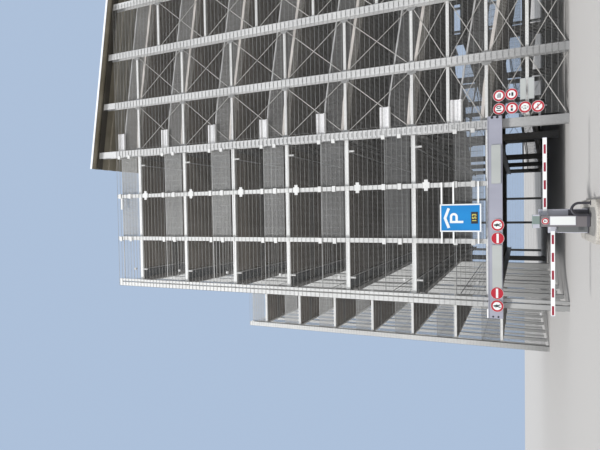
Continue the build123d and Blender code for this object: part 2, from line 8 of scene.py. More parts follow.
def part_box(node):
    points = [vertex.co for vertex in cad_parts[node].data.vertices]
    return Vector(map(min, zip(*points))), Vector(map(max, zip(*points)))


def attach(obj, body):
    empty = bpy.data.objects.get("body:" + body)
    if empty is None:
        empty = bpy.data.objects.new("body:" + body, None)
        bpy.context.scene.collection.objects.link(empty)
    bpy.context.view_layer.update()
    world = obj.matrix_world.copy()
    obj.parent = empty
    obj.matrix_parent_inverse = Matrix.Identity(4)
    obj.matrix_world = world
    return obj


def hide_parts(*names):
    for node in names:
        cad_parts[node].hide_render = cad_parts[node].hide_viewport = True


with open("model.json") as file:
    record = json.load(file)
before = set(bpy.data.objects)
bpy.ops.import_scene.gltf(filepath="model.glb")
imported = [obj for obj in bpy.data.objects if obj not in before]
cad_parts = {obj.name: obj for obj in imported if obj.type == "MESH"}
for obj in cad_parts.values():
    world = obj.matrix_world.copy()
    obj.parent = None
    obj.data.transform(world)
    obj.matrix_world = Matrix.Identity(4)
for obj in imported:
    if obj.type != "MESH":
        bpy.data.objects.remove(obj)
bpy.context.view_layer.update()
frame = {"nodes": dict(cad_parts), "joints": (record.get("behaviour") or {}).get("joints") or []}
nodes = frame["nodes"]
print("frame loaded:", len(nodes), "nodes")

# heights and lines of the building that the pieces below share, in metres
site = {
    "storey": 2.79,
    "levels": 7,
    "rampLine": 5.04,  # ends of the ramps, from the split line between the halves
    "cornerLine": 11.71,
    "wingLine": 16.75,
    "stallBay": 2.52,
    "sideBay": 2.7,
    "wingFront": 13.5,  # from the facade
    "depth": 26.1,
    "column": 0.3,
    "headColumn": 0.32,
    "post": 0.18,
    "slab": 0.11,
}
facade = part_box("front_posts")[0].y  # front faces of the front posts
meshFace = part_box("entrance_mesh")[0].y
storey = site["storey"]
halfStorey = storey / 2
topDeck = storey * site["levels"]
leftPost, rightPost = -9.40, -7.23  # the two posts over the entrance


def fromCorner(distance):
    return distance - site["cornerLine"]


def behindFacade(distance):
    return facade + distance


def placed(name, data):
    holder = bpy.data.objects.new(name, data)
    bpy.context.scene.collection.objects.link(holder)
    return holder


# camera at the photograph's place: it was held on its side, so the sky is at the left
cameraView = {
    "place": (-8.18, -28.92, 1.60),
    "yaw": -1.67,
    "pitch": 24.02,
    "roll": -0.26,
    "lens": 29.62,
    "sensor": 36,
    "farthest": 400,
}


def placeCamera():
    yaw, pitch, roll = (math.radians(cameraView[k]) for k in ("yaw", "pitch", "roll"))
    ahead = Vector((math.sin(yaw) * math.cos(pitch), math.cos(yaw) * math.cos(pitch), math.sin(pitch)))
    side = Vector((math.cos(yaw), -math.sin(yaw), 0))
    lift = side.cross(ahead)
    across = math.cos(roll) * side + math.sin(roll) * lift
    upward = math.cos(roll) * lift - math.sin(roll) * side
    turned = Matrix((-upward, across, -ahead)).transposed()
    lens = bpy.data.cameras.new("photoCamera")
    lens.sensor_width = cameraView["sensor"]
    lens.sensor_fit = "HORIZONTAL"
    lens.lens = cameraView["lens"]
    lens.clip_end = cameraView["farthest"]
    holder = placed("photoCamera", lens)
    holder.matrix_world = Matrix.Translation(cameraView["place"]) @ turned.to_4x4()
    bpy.context.scene.camera = holder


placeCamera()


# materials, all of them on Object coordinates
def nodeTree(name):
    made = bpy.data.materials.new(name)
    made.use_nodes = True
    tree = made.node_tree
    place = tree.nodes.new("ShaderNodeTexCoord").outputs["Object"]
    return made, tree, tree.nodes["Principled BSDF"], place


def setInputs(tree, node, inputs):
    for socket, value in inputs.items():
        if isinstance(value, bpy.types.NodeSocket):
            tree.links.new(value, node.inputs[socket])
        else:
            node.inputs[socket].default_value = value


def addNode(tree, kind, inputs, output, **settings):
    node = tree.nodes.new("ShaderNode" + kind)
    for setting, value in settings.items():
        setattr(node, setting, value)
    setInputs(tree, node, inputs)
    return node.outputs[output]


def noiseNode(tree, place, scale, detail, stretch=(1, 1, 1)):
    mapped = addNode(tree, "Mapping", {"Vector": place, "Scale": stretch}, "Vector")
    return addNode(tree, "TexNoise", {"Vector": mapped, "Scale": scale, "Detail": detail}, "Fac")


def rampNode(tree, value, low, high, start=0.3, end=0.7):
    ramp = tree.nodes.new("ShaderNodeValToRGB")
    for stop, position, colour in zip(ramp.color_ramp.elements, (start, end), (low, high)):
        stop.position = position
        stop.color = (*colour, 1)
    tree.links.new(value, ramp.inputs["Fac"])
    return ramp.outputs["Color"]


def rangeNode(tree, value, low, high):
    return addNode(tree, "MapRange", {"Value": value, "To Min": low, "To Max": high}, "Result")


def mixNode(tree, share, first, second, how="MIX"):  # 6, 7 and 2 are the sockets for colours
    return addNode(tree, "Mix", {"Factor": share, 6: first, 7: second}, 2, data_type="RGBA", blend_type=how)


def bumpNode(tree, height, strength, distance):
    return addNode(tree, "Bump", {"Height": height, "Strength": strength, "Distance": distance}, "Normal")


lowShadeAndDirt = {  # from height, to height in metres, share of the colour kept at the bottom: painted shade on the lower storeys, and painted shade with some dirt at the feet of the posts and columns
    "storeys": (6.0, 14.5, 0.38),
    "columns": (0.3, 5.0, 0.42),
}


# darker towards the bottom: painted shade, with some dirt at the feet of the posts and columns
def shadeAndDirtBelow(tree, place, tone, where="storeys"):
    low, high, share = lowShadeAndDirt[where]
    height = addNode(tree, "SeparateXYZ", {"Vector": place}, "Z")
    rise = addNode(tree, "MapRange", {"Value": height, "From Min": low, "From Max": high}, "Result")
    return mixNode(tree, 1.0, tone, rampNode(tree, rise, (share,) * 3, (1, 1, 1), 0.0, 1.0), "MULTIPLY")


def underneath(tree, tone, below):  # another tone on the faces that look down
    normal = tree.nodes.new("ShaderNodeTexCoord").outputs["Normal"]
    upward = addNode(tree, "SeparateXYZ", {"Vector": normal}, "Z")
    down = addNode(tree, "Math", {0: upward, 1: -0.5}, "Value", operation="LESS_THAN")
    return mixNode(tree, down, tone, below)


# patterns: each noise by its cells a metre, detail and stretch, stops of the tones, and the bump
zincLook = {
    "flakeStops": (0.2, 0.8),
    "weather": (1.1, 5.0, (1, 1, 0.35)),
    "weatherStops": (0.35, 0.6),
    "weatherShare": 0.45,
    "grain": (60.0, 2.0),
    "bump": (0.15, 0.002),  # strength and depth
}
coatLook = {"drift": (0.8, 6.0, (1, 1, 0.3)), "grain": (35.0, 2.0), "bump": (0.1, 0.002)}
stoneLook = {
    "patches": (0.9, 8.0),
    "speckTone": (0.72, 0.72, 0.72),
    "speckStops": (0.35, 0.6),
    "detail": 4.0,
    "sheet": (0.7, 6.0),
    "roughness": 0.9,
    "bump": (0.35, 0.004),
}


def galvanisedSteel(name, dark, light, metallic, roughness=(0.42, 0.62), spangle=14.0, shadeAndDirt=None):
    made, tree, shader, place = nodeTree(name)
    cells = addNode(tree, "TexVoronoi", {"Vector": place, "Scale": spangle}, "Color")
    grey = addNode(tree, "RGBToBW", {"Color": cells}, "Val")
    flake = rampNode(tree, grey, dark, light, *zincLook["flakeStops"])
    streaks = noiseNode(tree, place, *zincLook["weather"])
    weather = rampNode(tree, streaks, dark, light, *zincLook["weatherStops"])
    tone = mixNode(tree, zincLook["weatherShare"], flake, weather)
    setInputs(tree, shader, {
        "Base Color": shadeAndDirtBelow(tree, place, tone, shadeAndDirt) if shadeAndDirt else tone,
        "Roughness": rangeNode(tree, grey, *roughness),
        "Metallic": metallic,
        "Normal": bumpNode(tree, noiseNode(tree, place, *zincLook["grain"]), *zincLook["bump"]),
    })
    return made


def coatedSheet(name, dark, light, metallic=0.0, roughness=(0.35, 0.5), shadeAndDirt=None, below=None):
    made, tree, shader, place = nodeTree(name)
    drift = noiseNode(tree, place, *coatLook["drift"])
    tone = rampNode(tree, drift, dark, light)
    if shadeAndDirt:
        tone = shadeAndDirtBelow(tree, place, tone, shadeAndDirt)
    if below:
        tone = underneath(tree, tone, rampNode(tree, drift, *below))
    setInputs(tree, shader, {
        "Base Color": tone,
        "Roughness": rangeNode(tree, drift, *roughness),
        "Metallic": metallic,
        "Normal": bumpNode(tree, noiseNode(tree, place, *coatLook["grain"]), *coatLook["bump"]),
    })
    return made


def concrete(name, dark, light, grain=26.0, below=None):
    made, tree, shader, place = nodeTree(name)
    detail = stoneLook["detail"]
    patches = rampNode(tree, noiseNode(tree, place, *stoneLook["patches"]), dark, light)
    specks = rampNode(tree, noiseNode(tree, place, grain, detail), stoneLook["speckTone"], (1, 1, 1),
                      *stoneLook["speckStops"])
    tone = mixNode(tree, 1.0, patches, specks, "MULTIPLY")
    if below:  # the sheet under a deck, in dark tones that are painted shade
        sheet = rampNode(tree, noiseNode(tree, place, *stoneLook["sheet"]), *below)
        tone = underneath(tree, tone, shadeAndDirtBelow(tree, place, sheet))
    setInputs(tree, shader, {
        "Base Color": tone,
        "Roughness": stoneLook["roughness"],
        "Normal": bumpNode(tree, noiseNode(tree, place, grain * 2, detail), *stoneLook["bump"]),
    })
    return made


satin, matt, hard, gloss = (0.45, 0.6), (0.5, 0.65), (0.3, 0.45), (0.25, 0.4)  # ranges of roughness
# tones of the sheet under the decks, made dark as painted shade
shadedSheetBelow = ((0.125, 0.100, 0.078), (0.200, 0.167, 0.132))
roofBelow = ((0.29, 0.26, 0.195), (0.45, 0.41, 0.33))
zincTones = {  # dark, light, metallic, roughness, spangles a metre, which painted shade (with dirt at the feet) darkens it
    "postSteel": ((0.64, 0.635, 0.62), (0.76, 0.755, 0.735), 0.1, satin, 30.0, "columns"),
    "columnSteel": ((0.54, 0.535, 0.53), (0.69, 0.685, 0.675), 0.1, satin, 30.0, "columns"),
    # dark strips across the ramp columns, painted shadows of the mesh rods
    "clipSteel": ((0.20, 0.20, 0.20), (0.29, 0.29, 0.285), 0.15),
    "gussetSteel": ((0.30, 0.30, 0.30), (0.42, 0.42, 0.415), 0.15, satin, 30.0),
    # beams, joists and inner columns under the decks, dark as painted shade
    "innerSteel": ((0.10, 0.093, 0.085), (0.17, 0.16, 0.148), 0.15),
    "edgeSteel": ((0.78, 0.775, 0.755), (0.90, 0.895, 0.875), 0.1, satin, 30.0),
    # ramp screens: the same screens as guardZinc, in a darker copy that is painted shade
    "rampZinc": ((0.24, 0.23, 0.22), (0.34, 0.33, 0.315), 0.15, satin, 20.0, "storeys"),
    "guardZinc": ((0.44, 0.435, 0.425), (0.58, 0.575, 0.56), 0.15, satin, 20.0, "storeys"),
    "wireZinc": ((0.30, 0.295, 0.285), (0.42, 0.415, 0.40), 0.1),
    # mesh of the long sides: the same wire as wireZinc, in a darker copy that is painted shade
    "sideWire": ((0.09, 0.09, 0.09), (0.16, 0.16, 0.155), 0.15),
    "rodZinc": ((0.40, 0.385, 0.36), (0.54, 0.52, 0.49), 0.1),
    "railZinc": ((0.42, 0.41, 0.40), (0.56, 0.55, 0.54), 0.15),
    # head guard rails in a near-white tone that is painted sunlight
    "headZinc": ((0.78, 0.77, 0.77), (0.92, 0.91, 0.91), 0.1),
}
coatTones = {  # dark, light, metallic, roughness, which painted shade (with dirt at the feet) darkens it, tones on its underside
    "beamPaint": ((0.30, 0.30, 0.355), (0.39, 0.39, 0.455), 0.1),
    "rampPaint": ((0.52, 0.475, 0.44), (0.68, 0.63, 0.59)),
    # ribs under the decks, in the sheet's dark tones that are painted shade, darker still on the lower
    # storeys
    "deckSheet": (*shadedSheetBelow, 0.1, matt, "storeys"),
    "stripGrey": ((0.042, 0.046, 0.052), (0.066, 0.072, 0.08), 0.1, matt),
    "roofSheet": ((0.085, 0.072, 0.058), (0.14, 0.12, 0.095), 0.1, satin, None, roofBelow),
    # purlins under the roof, dark as painted shade
    "roofSteel": ((0.07, 0.063, 0.052), (0.11, 0.10, 0.085), 0.1, matt),
    "fasciaWhite": ((0.84, 0.85, 0.87), (0.95, 0.95, 0.96)),
    "signBlue": ((0.003, 0.165, 0.45), (0.006, 0.235, 0.58), 0.0, hard),
    "signWhite": ((0.70, 0.71, 0.70), (0.82, 0.83, 0.82), 0.0, (0.2, 0.35)),
    "plateWhite": ((0.37, 0.385, 0.37), (0.45, 0.465, 0.45), 0.0, hard),
    "signRed": ((0.36, 0.008, 0.022), (0.50, 0.018, 0.035), 0.0, hard),
    "signDark": ((0.012, 0.012, 0.014), (0.035, 0.035, 0.04), 0.0, gloss),
    "signBack": ((0.30, 0.31, 0.32), (0.42, 0.43, 0.44), 0.3),
    "digitGlow": ((0.42, 0.36, 0.06), (0.62, 0.54, 0.12), 0.0, (0.3, 0.5)),
    "cabinetGrey": ((0.42, 0.42, 0.47), (0.54, 0.54, 0.60), 0.1),
    "doorGrey": ((0.13, 0.135, 0.135), (0.19, 0.195, 0.195), 0.1),
    "plinthGrey": ((0.07, 0.065, 0.075), (0.11, 0.105, 0.12), 0.1),
    "pillarGrey": ((0.15, 0.135, 0.14), (0.22, 0.20, 0.205), 0.1),
    "hoodGreen": ((0.17, 0.22, 0.20), (0.25, 0.31, 0.285), 0.1),
    "hoopPaint": ((0.02, 0.018, 0.022), (0.05, 0.046, 0.055)),
    "boomWhite": ((0.76, 0.76, 0.76), (0.90, 0.90, 0.90), 0.0, gloss),
    "boomRed": ((0.22, 0.010, 0.025), (0.34, 0.018, 0.04), 0.0, gloss),
}
stoneTones = {  # dark, light, specks a metre, tones of the sheet underneath, dark as painted shade
    "rampConcrete": ((0.075, 0.068, 0.06), (0.125, 0.115, 0.10), 26.0, shadedSheetBelow),
    "deckConcrete": ((0.14, 0.135, 0.125), (0.23, 0.22, 0.205), 26.0, shadedSheetBelow),
    "kerbStone": ((0.40, 0.37, 0.33), (0.56, 0.53, 0.48)),
    "islandFill": ((0.20, 0.19, 0.175), (0.31, 0.30, 0.28), 40.0),
}
finish = {}
for maker, tones in ((galvanisedSteel, zincTones), (coatedSheet, coatTones), (concrete, stoneTones)):
    for name, looks in tones.items():
        finish[name] = maker(name, *looks)

# which finish each solid of the frame wears
dressing = {
    "postSteel": ["front_corner_posts", "front_posts", "side_posts", "rear_posts"],
    "columnSteel": ["front_ramp_columns"],
    # beams, joists and inner columns wear the dark tone that is painted shade
    "innerSteel": ["main_beams", "deck_joists", "inner_columns"],
    "roofSteel": ["ramp_roof_purlins"],
    "edgeSteel": ["edge_channels", "ramp_ties", "parking_sign_rails"],
    "beamPaint": ["entrance_beam"],
    "guardZinc": ["guard_panels"],
    "wireZinc": [name for name in nodes if name.endswith("_mesh")],
    "rodZinc": ["brace_rods"],
    "railZinc": ["ramp_rails"],
    "headZinc": ["ramp_head_guard_rails"],
    "rampPaint": ["ramp_edges"],
    "deckConcrete": [f"deck_level_{n}" for n in range(1, site["levels"] + 1)],
    "rampConcrete": ["ramps"],
    "roofSheet": ["ramp_roof_sheet"],
    "fasciaWhite": ["ramp_roof_fascia"],
    "signBlue": ["parking_sign_board"],
    "kerbStone": ["barrier_island"],
    "cabinetGrey": ["barrier_cabinets"],
    "pillarGrey": ["ticket_pillar"],
    "hoopPaint": ["guard_hoop"],
    "boomWhite": ["left_boom", "right_boom"],
}
for wear, names in dressing.items():
    for name in names:
        nodes[name].data.materials.clear()
        nodes[name].data.materials.append(finish[wear])
print("finishes:", len(finish))


# modelling helpers
bevels = {"fine": 0.001, "door": 0.002, "edge": 0.003, "plate": 0.004, "hub": 0.008, "round": 0.01,
          "lid": 0.012}


def finished(name, shape, wears, body="building", stands=()):
    bmesh.ops.recalc_face_normals(shape, faces=shape.faces)
    data = bpy.data.meshes.new(name)
    shape.to_mesh(data)
    shape.free()
    for wear in wears:
        data.materials.append(finish[wear])
    piece = placed(name, data)
    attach(piece, body)
    if stands:
        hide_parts(*stands)
    print("  piece", name, len(data.polygons), "faces")


def wearing(verts, wear):
    for face in {f for v in verts for f in v.link_faces}:
        face.material_index = wear
    return verts


def addBlock(shape, low, high, wear=0):
    size = [b - a for a, b in zip(low, high)]
    middle = [(a + b) / 2 for a, b in zip(low, high)]
    place = Matrix.LocRotScale(middle, None, size)
    return wearing(bmesh.ops.create_cube(shape, size=1, matrix=place)["verts"], wear)


def addSoftBlock(shape, low, high, bevel, wear=0, segments=1):
    edges = list({e for v in addBlock(shape, low, high, wear) for e in v.link_edges})
    bmesh.ops.bevel(shape, geom=edges, offset=bevels[bevel], offset_type="OFFSET", affect="EDGES",
                    segments=segments, profile=0.5, material=-1, clamp_overlap=True)


def addDisc(shape, middle, radius, depth, axis="Y", sides=24, wear=0):
    turn = Matrix.Rotation(math.pi / 2, 4, "X") if axis == "Y" else Matrix.Identity(4)
    made = bmesh.ops.create_cone(shape, cap_ends=True, segments=sides, radius1=radius, radius2=radius,
                                 depth=depth, matrix=Matrix.Translation(middle) @ turn)
    return wearing(made["verts"], wear)


def addBolt(shape, middle, radius=0.014, height=0.012, wear=0):
    addDisc(shape, middle, radius * 1.6, height * 0.3, sides=12, wear=wear)  # washer
    addDisc(shape, middle, radius, height, sides=6, wear=wear)


def geometryOf(verts):
    edges = {e for v in verts for e in v.link_edges}
    faces = {f for v in verts for f in v.link_faces}
    return list(verts) + list(edges) + list(faces)


def vertsIn(made):
    return [g for g in made["geom"] if isinstance(g, bmesh.types.BMVert)]


def inRow(shape, verts, step, count):
    if count > 1:
        bmesh.ops.spin(shape, geom=geometryOf(verts), cent=(0, 0, 0), axis=(0, 0, 1), dvec=step,
                       angle=0.0, steps=count - 1, use_duplicate=True)


def upTheStoreys(shape):
    inRow(shape, shape.verts[:], (0, 0, storey), site["levels"])


def throughBothHalves(shape):  # up the left half, and mirrored to the right one, half a storey lower
    upTheStoreys(shape)
    verts = vertsIn(bmesh.ops.duplicate(shape, geom=shape.verts[:] + shape.edges[:] + shape.faces[:]))
    bmesh.ops.scale(shape, vec=(-1, 1, 1), verts=verts)
    bmesh.ops.translate(shape, vec=(0, 0, -halfStorey), verts=verts)


figures = {"size": 1.4, "bold": 0.035, "depth": 0.004}  # size and bold are shares of the height


def addFigures(shape, words, middle, height, wear):
    curve = bpy.data.curves.new("figures", "FONT")
    curve.body = words
    curve.align_x, curve.align_y = "CENTER", "CENTER"
    curve.size = height * figures["size"]
    curve.offset = height * figures["bold"]
    curve.extrude = figures["depth"] / 2
    holder = bpy.data.objects.new("figures", curve)
    data = bpy.data.meshes.new_from_object(holder)
    data.transform(Matrix.Translation(middle) @ Matrix.Rotation(math.pi / 2, 4, "X"))
    old = set(shape.faces)
    shape.from_mesh(data)
    for face in shape.faces:
        if face not in old:
            face.material_index = wear
    bpy.data.objects.remove(holder)
    bpy.data.curves.remove(curve)
    bpy.data.meshes.remove(data)


def thinAndRun(low, high):  # axis across a flat panel, and axis along it
    return (0, 1) if high[0] - low[0] < high[1] - low[1] else (1, 0)


# welded wire mesh: thin upright wires between twin cross rods
wireMesh = {
    "upright": 0.004,
    "uprightPitch": 0.05,
    "rod": 0.006,
    "rodPitch": 0.2,
    "seamGap": 0.003,
    "pieces": {
        "entrance_mesh": "entranceWireMesh", "front_ramp_mesh": "rampWireMesh",
        "right_front_mesh": "rightFrontWireMesh", "left_side_mesh": "leftSideWireMesh",
        "right_side_mesh": "rightSideWireMesh", "left_wing_front_mesh": "leftWingFrontWireMesh",
        "right_wing_front_mesh": "rightWingFrontWireMesh", "left_wing_side_mesh": "leftWingSideWireMesh",
        "right_wing_side_mesh": "rightWingSideWireMesh",
    },
}


def rodRows(low, high):  # steps between the cross rods, and the height of a step
    rows = round((high[2] - low[2]) / wireMesh["rodPitch"])
    return rows, (high[2] - low[2] - wireMesh["rod"]) / rows


def addMesh(shape, low, high):
    thin, run = thinAndRun(low, high)
    centre = (low[thin] + high[thin]) / 2
    upright, rod = wireMesh["upright"], wireMesh["rod"]
    count = int((high[run] - low[run] - upright) / wireMesh["uprightPitch"]) + 1
    a, b = list(low), list(high)
    a[thin], b[thin] = centre - upright / 2, centre + upright / 2
    b[run] = a[run] + upright
    step = [0, 0, 0]
    step[run] = (high[run] - low[run] - upright) / (count - 1)
    inRow(shape, addBlock(shape, a, b), step, count)
    rows, rise = rodRows(low, high)
    for side in (-1, 1):
        a, b = list(low), list(high)
        middle = centre + side * (upright + rod) / 2
        a[thin], b[thin] = middle - rod / 2, middle + rod / 2
        b[2] = a[2] + rod
        inRow(shape, addBlock(shape, a, b), (0, 0, rise), rows + 1)


def makeMeshes():
    for node, piece in wireMesh["pieces"].items():
        shape = bmesh.new()
        addMesh(shape, *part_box(node))
        # the side meshes wear the darker copy of the wire, painted shade
        wear = "sideWire" if "side" in node else "wireZinc"
        finished(piece, shape, [wear], stands=[node])
    shape = bmesh.new()  # the rear in two heights, as the right half is lower
    low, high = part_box("rear_mesh")
    seam = site["column"] / 2
    addMesh(shape, low, (seam, high.y, high.z))
    addMesh(shape, (seam + wireMesh["seamGap"], low.y, low.z), (high.x, high.y, high.z - halfStorey))
    finished("rearWireMesh", shape, ["wireZinc"], stands=["rear_mesh"])


# dark clips across the ramp columns, one to each pair of rods: painted shadows of the rods, made as clips
# that hold the mesh
clip = {"width": 0.17, "height": 0.03, "overlap": 0.001, "sunk": 0.002}


def makeRodShadows():
    low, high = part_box("front_ramp_mesh")
    centre, back = (low.y + high.y) / 2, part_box("front_ramp_columns")[0].y + clip["sunk"]
    front = centre + wireMesh["upright"] / 2 + wireMesh["rod"] - clip["overlap"]
    rows, rise = rodRows(low, high)
    shape = bmesh.new()
    gateTop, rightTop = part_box("entrance_beam")[1].z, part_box("right_front_mesh")[1].z
    for n in range(-2, 3):
        first = math.ceil((gateTop - low.z) / rise) if n == -2 else 1  # none under the gateway
        last = int((rightTop - low.z) / rise) if n == 2 else rows
        x, half = n * site["stallBay"], clip["width"] / 2
        z = low.z + (wireMesh["rod"] - clip["height"]) / 2 + first * rise
        verts = addBlock(shape, (x - half, front, z), (x + half, back, z + clip["height"]))
        inRow(shape, verts, (0, 0, rise), last - first)
    finished("meshClips", shape, ["clipSteel"])


# slender uprights that carry the mesh of the long sides
mullion = {"width": 0.06, "depth": 0.11, "bays": 5, "bracket": (0.14, 0.16, 0.10)}


def makeMullions():
    shape = bmesh.new()
    wide, deep, bays = mullion["width"], mullion["depth"], mullion["bays"]
    for part, start, bay in (("", 0, site["sideBay"]), ("wing_", site["wingFront"], site["stallBay"])):
        for side in ("left", "right"):
            low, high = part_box(f"{side}_{part}side_mesh")
            x0, x1 = (high.x, high.x + deep) if side == "left" else (low.x - deep, low.x)
            y = behindFacade(start) + bay / 2
            verts = addBlock(shape, (x0, y - wide / 2, low.z), (x1, y + wide / 2, high.z))
            inRow(shape, verts, (0, bay, 0), bays)
    finished("meshUprights", shape, ["postSteel"])
    shape = bmesh.new()  # brackets between the side posts and the deck edges
    reach, tall, wide = mullion["bracket"]
    edge = site["column"] / 2 - site["cornerLine"]
    y, z = behindFacade(site["sideBay"]), storey - site["slab"]
    verts = addBlock(shape, (edge, y - wide / 2, z - tall), (edge + reach, y + wide / 2, z))
    inRow(shape, verts, (0, site["sideBay"], 0), bays - 1)
    throughBothHalves(shape)
    finished("deckEdgeBrackets", shape, ["edgeSteel"])


makeMeshes()
makeMullions()
makeRodShadows()
print("wire mesh done")


# guard screens on the deck edges: close cross wires on thin uprights under a top rail
screens = {
    "wire": 0.008,
    "upright": 0.01,
    "close": (0.022, 0.25),  # pitch of the cross wires and of the uprights
    "loose": (0.16, 1.25),  # the same where only thin rails run
    "rail": 0.03,
    "bottom": 0.06,
    "height": 1.08,
    "doublePost": 0.37,  # room that the double corner post takes
    "endGap": 0.02,
    "rampBottom": 0.2,
    "rampHeight": 0.94,
    "rampTransition": 1.5,
    "sole": (0.004, 0.07),  # thickness and height of the dark strip at the foot, painted shade
}


def addScreen(shape, low, high, pitches, rail=True):
    thin, run = thinAndRun(low, high)
    wire, upright = screens["wire"], screens["upright"]
    a, b = list(low), list(high)
    b[2] = a[2] + wire
    rows = int((high[2] - low[2]) / pitches[0])
    inRow(shape, addBlock(shape, a, b), (0, 0, (high[2] - low[2] - wire) / rows), rows + 1)
    a, b = list(low), list(high)
    b[run] = a[run] + upright
    count = int((high[run] - low[run]) / pitches[1])
    step = [0, 0, 0]
    step[run] = (high[run] - low[run] - upright) / count
    inRow(shape, addBlock(shape, a, b), step, count + 1)
    if rail:
        a, b = list(low), list(high)
        a[2] = b[2] - screens["rail"]
        a[thin] -= wire / 2
        b[thin] += wire / 2
        addBlock(shape, a, b)


def screenLines():
    post, column, wire = site["post"], site["column"], screens["wire"]
    corner, wing = site["cornerLine"] + column / 2, site["wingLine"] + column / 2
    wingFront, depth = behindFacade(site["wingFront"]), behindFacade(site["depth"])
    inner, inset, front = corner - screens["doublePost"], column + screens["endGap"], facade + post
    close, loose = screens["close"], screens["loose"]
    return [  # from, to, pitches of the wires
        ((-inner, front), (leftPost, front + wire), loose),
        ((leftPost, front), (-site["rampLine"] - site["headColumn"] / 2, front + wire), close),
        ((-corner + post, front), (-corner + post + wire, wingFront), loose),
        ((-wing + column, wingFront + post), (-corner, wingFront + post + wire), close),
        ((-wing + post, wingFront + inset), (-wing + post + wire, depth - inset), loose),
        ((-wing + column, depth - post - wire), (-site["rampLine"] - column / 2, depth - post), close),
    ]


def makeDeckScreens():
    shape = bmesh.new()
    z0, z1 = storey + screens["bottom"], storey + screens["height"]
    for start, end, pitches in screenLines():
        addScreen(shape, (*start, z0), (*end, z1), pitches)
    throughBothHalves(shape)
    finished("deckGuardScreens", shape, ["guardZinc"], stands=["guard_panels"])


def rampFall(x):
    turn = screens["rampTransition"]
    total = 2 * site["rampLine"]
    slope = halfStorey / (total - turn)
    run = x + site["rampLine"]
    if run <= turn:
        return run * slope / 2
    if run >= total - turn:
        return halfStorey - (total - run) * slope / 2
    return (run - turn / 2) * slope


def makeRampScreens():
    reach, wire = site["rampLine"], screens["wire"]
    bottom, height = screens["rampBottom"], screens["rampHeight"]
    thick, tall = screens["sole"]
    for name, y, top, facing in (
        ("frontRampScreens", behindFacade(site["column"]), storey, 1),
        ("rearRampScreens", behindFacade(site["depth"] - site["column"]) - wire, halfStorey, -1),
    ):
        shape = bmesh.new()
        addScreen(shape, (-reach, y, bottom), (reach, y + wire, height), screens["close"], rail=False)
        middle = y + wire / 2
        front, back = sorted((middle, middle - facing * (wire / 2 + thick)))
        addBlock(shape, (-reach, front, 0), (reach, back, tall), 1)  # dark strip at the foot of the edge plate, painted shade in the ramp concrete's tone
        for x in (-reach + screens["rampTransition"], reach - screens["rampTransition"]):
            bmesh.ops.bisect_plane(shape, geom=shape.verts[:] + shape.edges[:] + shape.faces[:],
                                   plane_co=(x, 0, 0), plane_no=(1, 0, 0))
        for vert in shape.verts:
            vert.co.z += top - rampFall(vert.co.x)
            vert.co.x *= facing
        upTheStoreys(shape)
        # the ramp screens wear the darker copy, painted shade
        finished(name, shape, ["rampZinc", "rampConcrete"], stands=["guard_panels"])


makeDeckScreens()
makeRampScreens()
print("guard screens done")


# clamps, cross plates and drain stubs of the entrance bays
fittings = {
    "clampPosts": (  # place, shift, and share of the clamp's width
        (leftPost, -0.03, 1), (rightPost, 0, 1), (-site["rampLine"] - 0.1, -0.08, 0.7),
    ),
    "clampHeights": (0.42, 1.07),  # above each deck
    "clampSize": (0.24, 0.010, 0.15),
    "earSize": (0.024, 0.11),
    "earInset": 0.015,
    "boltInset": 0.02,
    "plateShift": 0.01,
    "plateHeight": -0.63,
    "plates": ((0.44, 0.02, 0.15), (0.24, 0.016, 0.27)),
    "plateBolts": (0.19, 0.04),  # from the plate's middle
    "stubPlaces": (fromCorner(0.72), fromCorner(6.04)),
    "stubBack": 0.2,
    "stubRadius": 0.038,
    "stubTop": -0.2,
    "stubEnd": -0.44,
    "flange": (1.35, 0.04),  # share of the stub's radius, and height
    "boxWidth": 0.1,
    "boxFront": 0.12,
    "boxHeights": (0.25, 0.36),
    "barSize": (0.58, 0.03, 0.11),
    "barPlace": (-0.1, 0.94),  # from the right post, and above the top deck
    "standOff": 0.001,
}


def addPlate(shape, x, z, size, y, bevel="plate"):
    wide, thick, tall = size
    addSoftBlock(shape, (x - wide / 2, y - thick, z - tall / 2), (x + wide / 2, y, z + tall / 2), bevel)


def addClamp(shape, x, z, size, front):
    width, thick, tall = size
    addPlate(shape, x, z, size, front)
    half, deep = fittings["earSize"][0] / 2, fittings["earSize"][1]
    for side in (-1, 1):  # ears beside the post, with a bolt each
        ear = x + side * (width / 2 - fittings["earInset"])
        addSoftBlock(shape, (ear - half, front, z - tall / 2), (ear + half, front + deep, z + tall / 2),
                     "edge")
        addBolt(shape, (ear - side * fittings["boltInset"], front - thick, z))


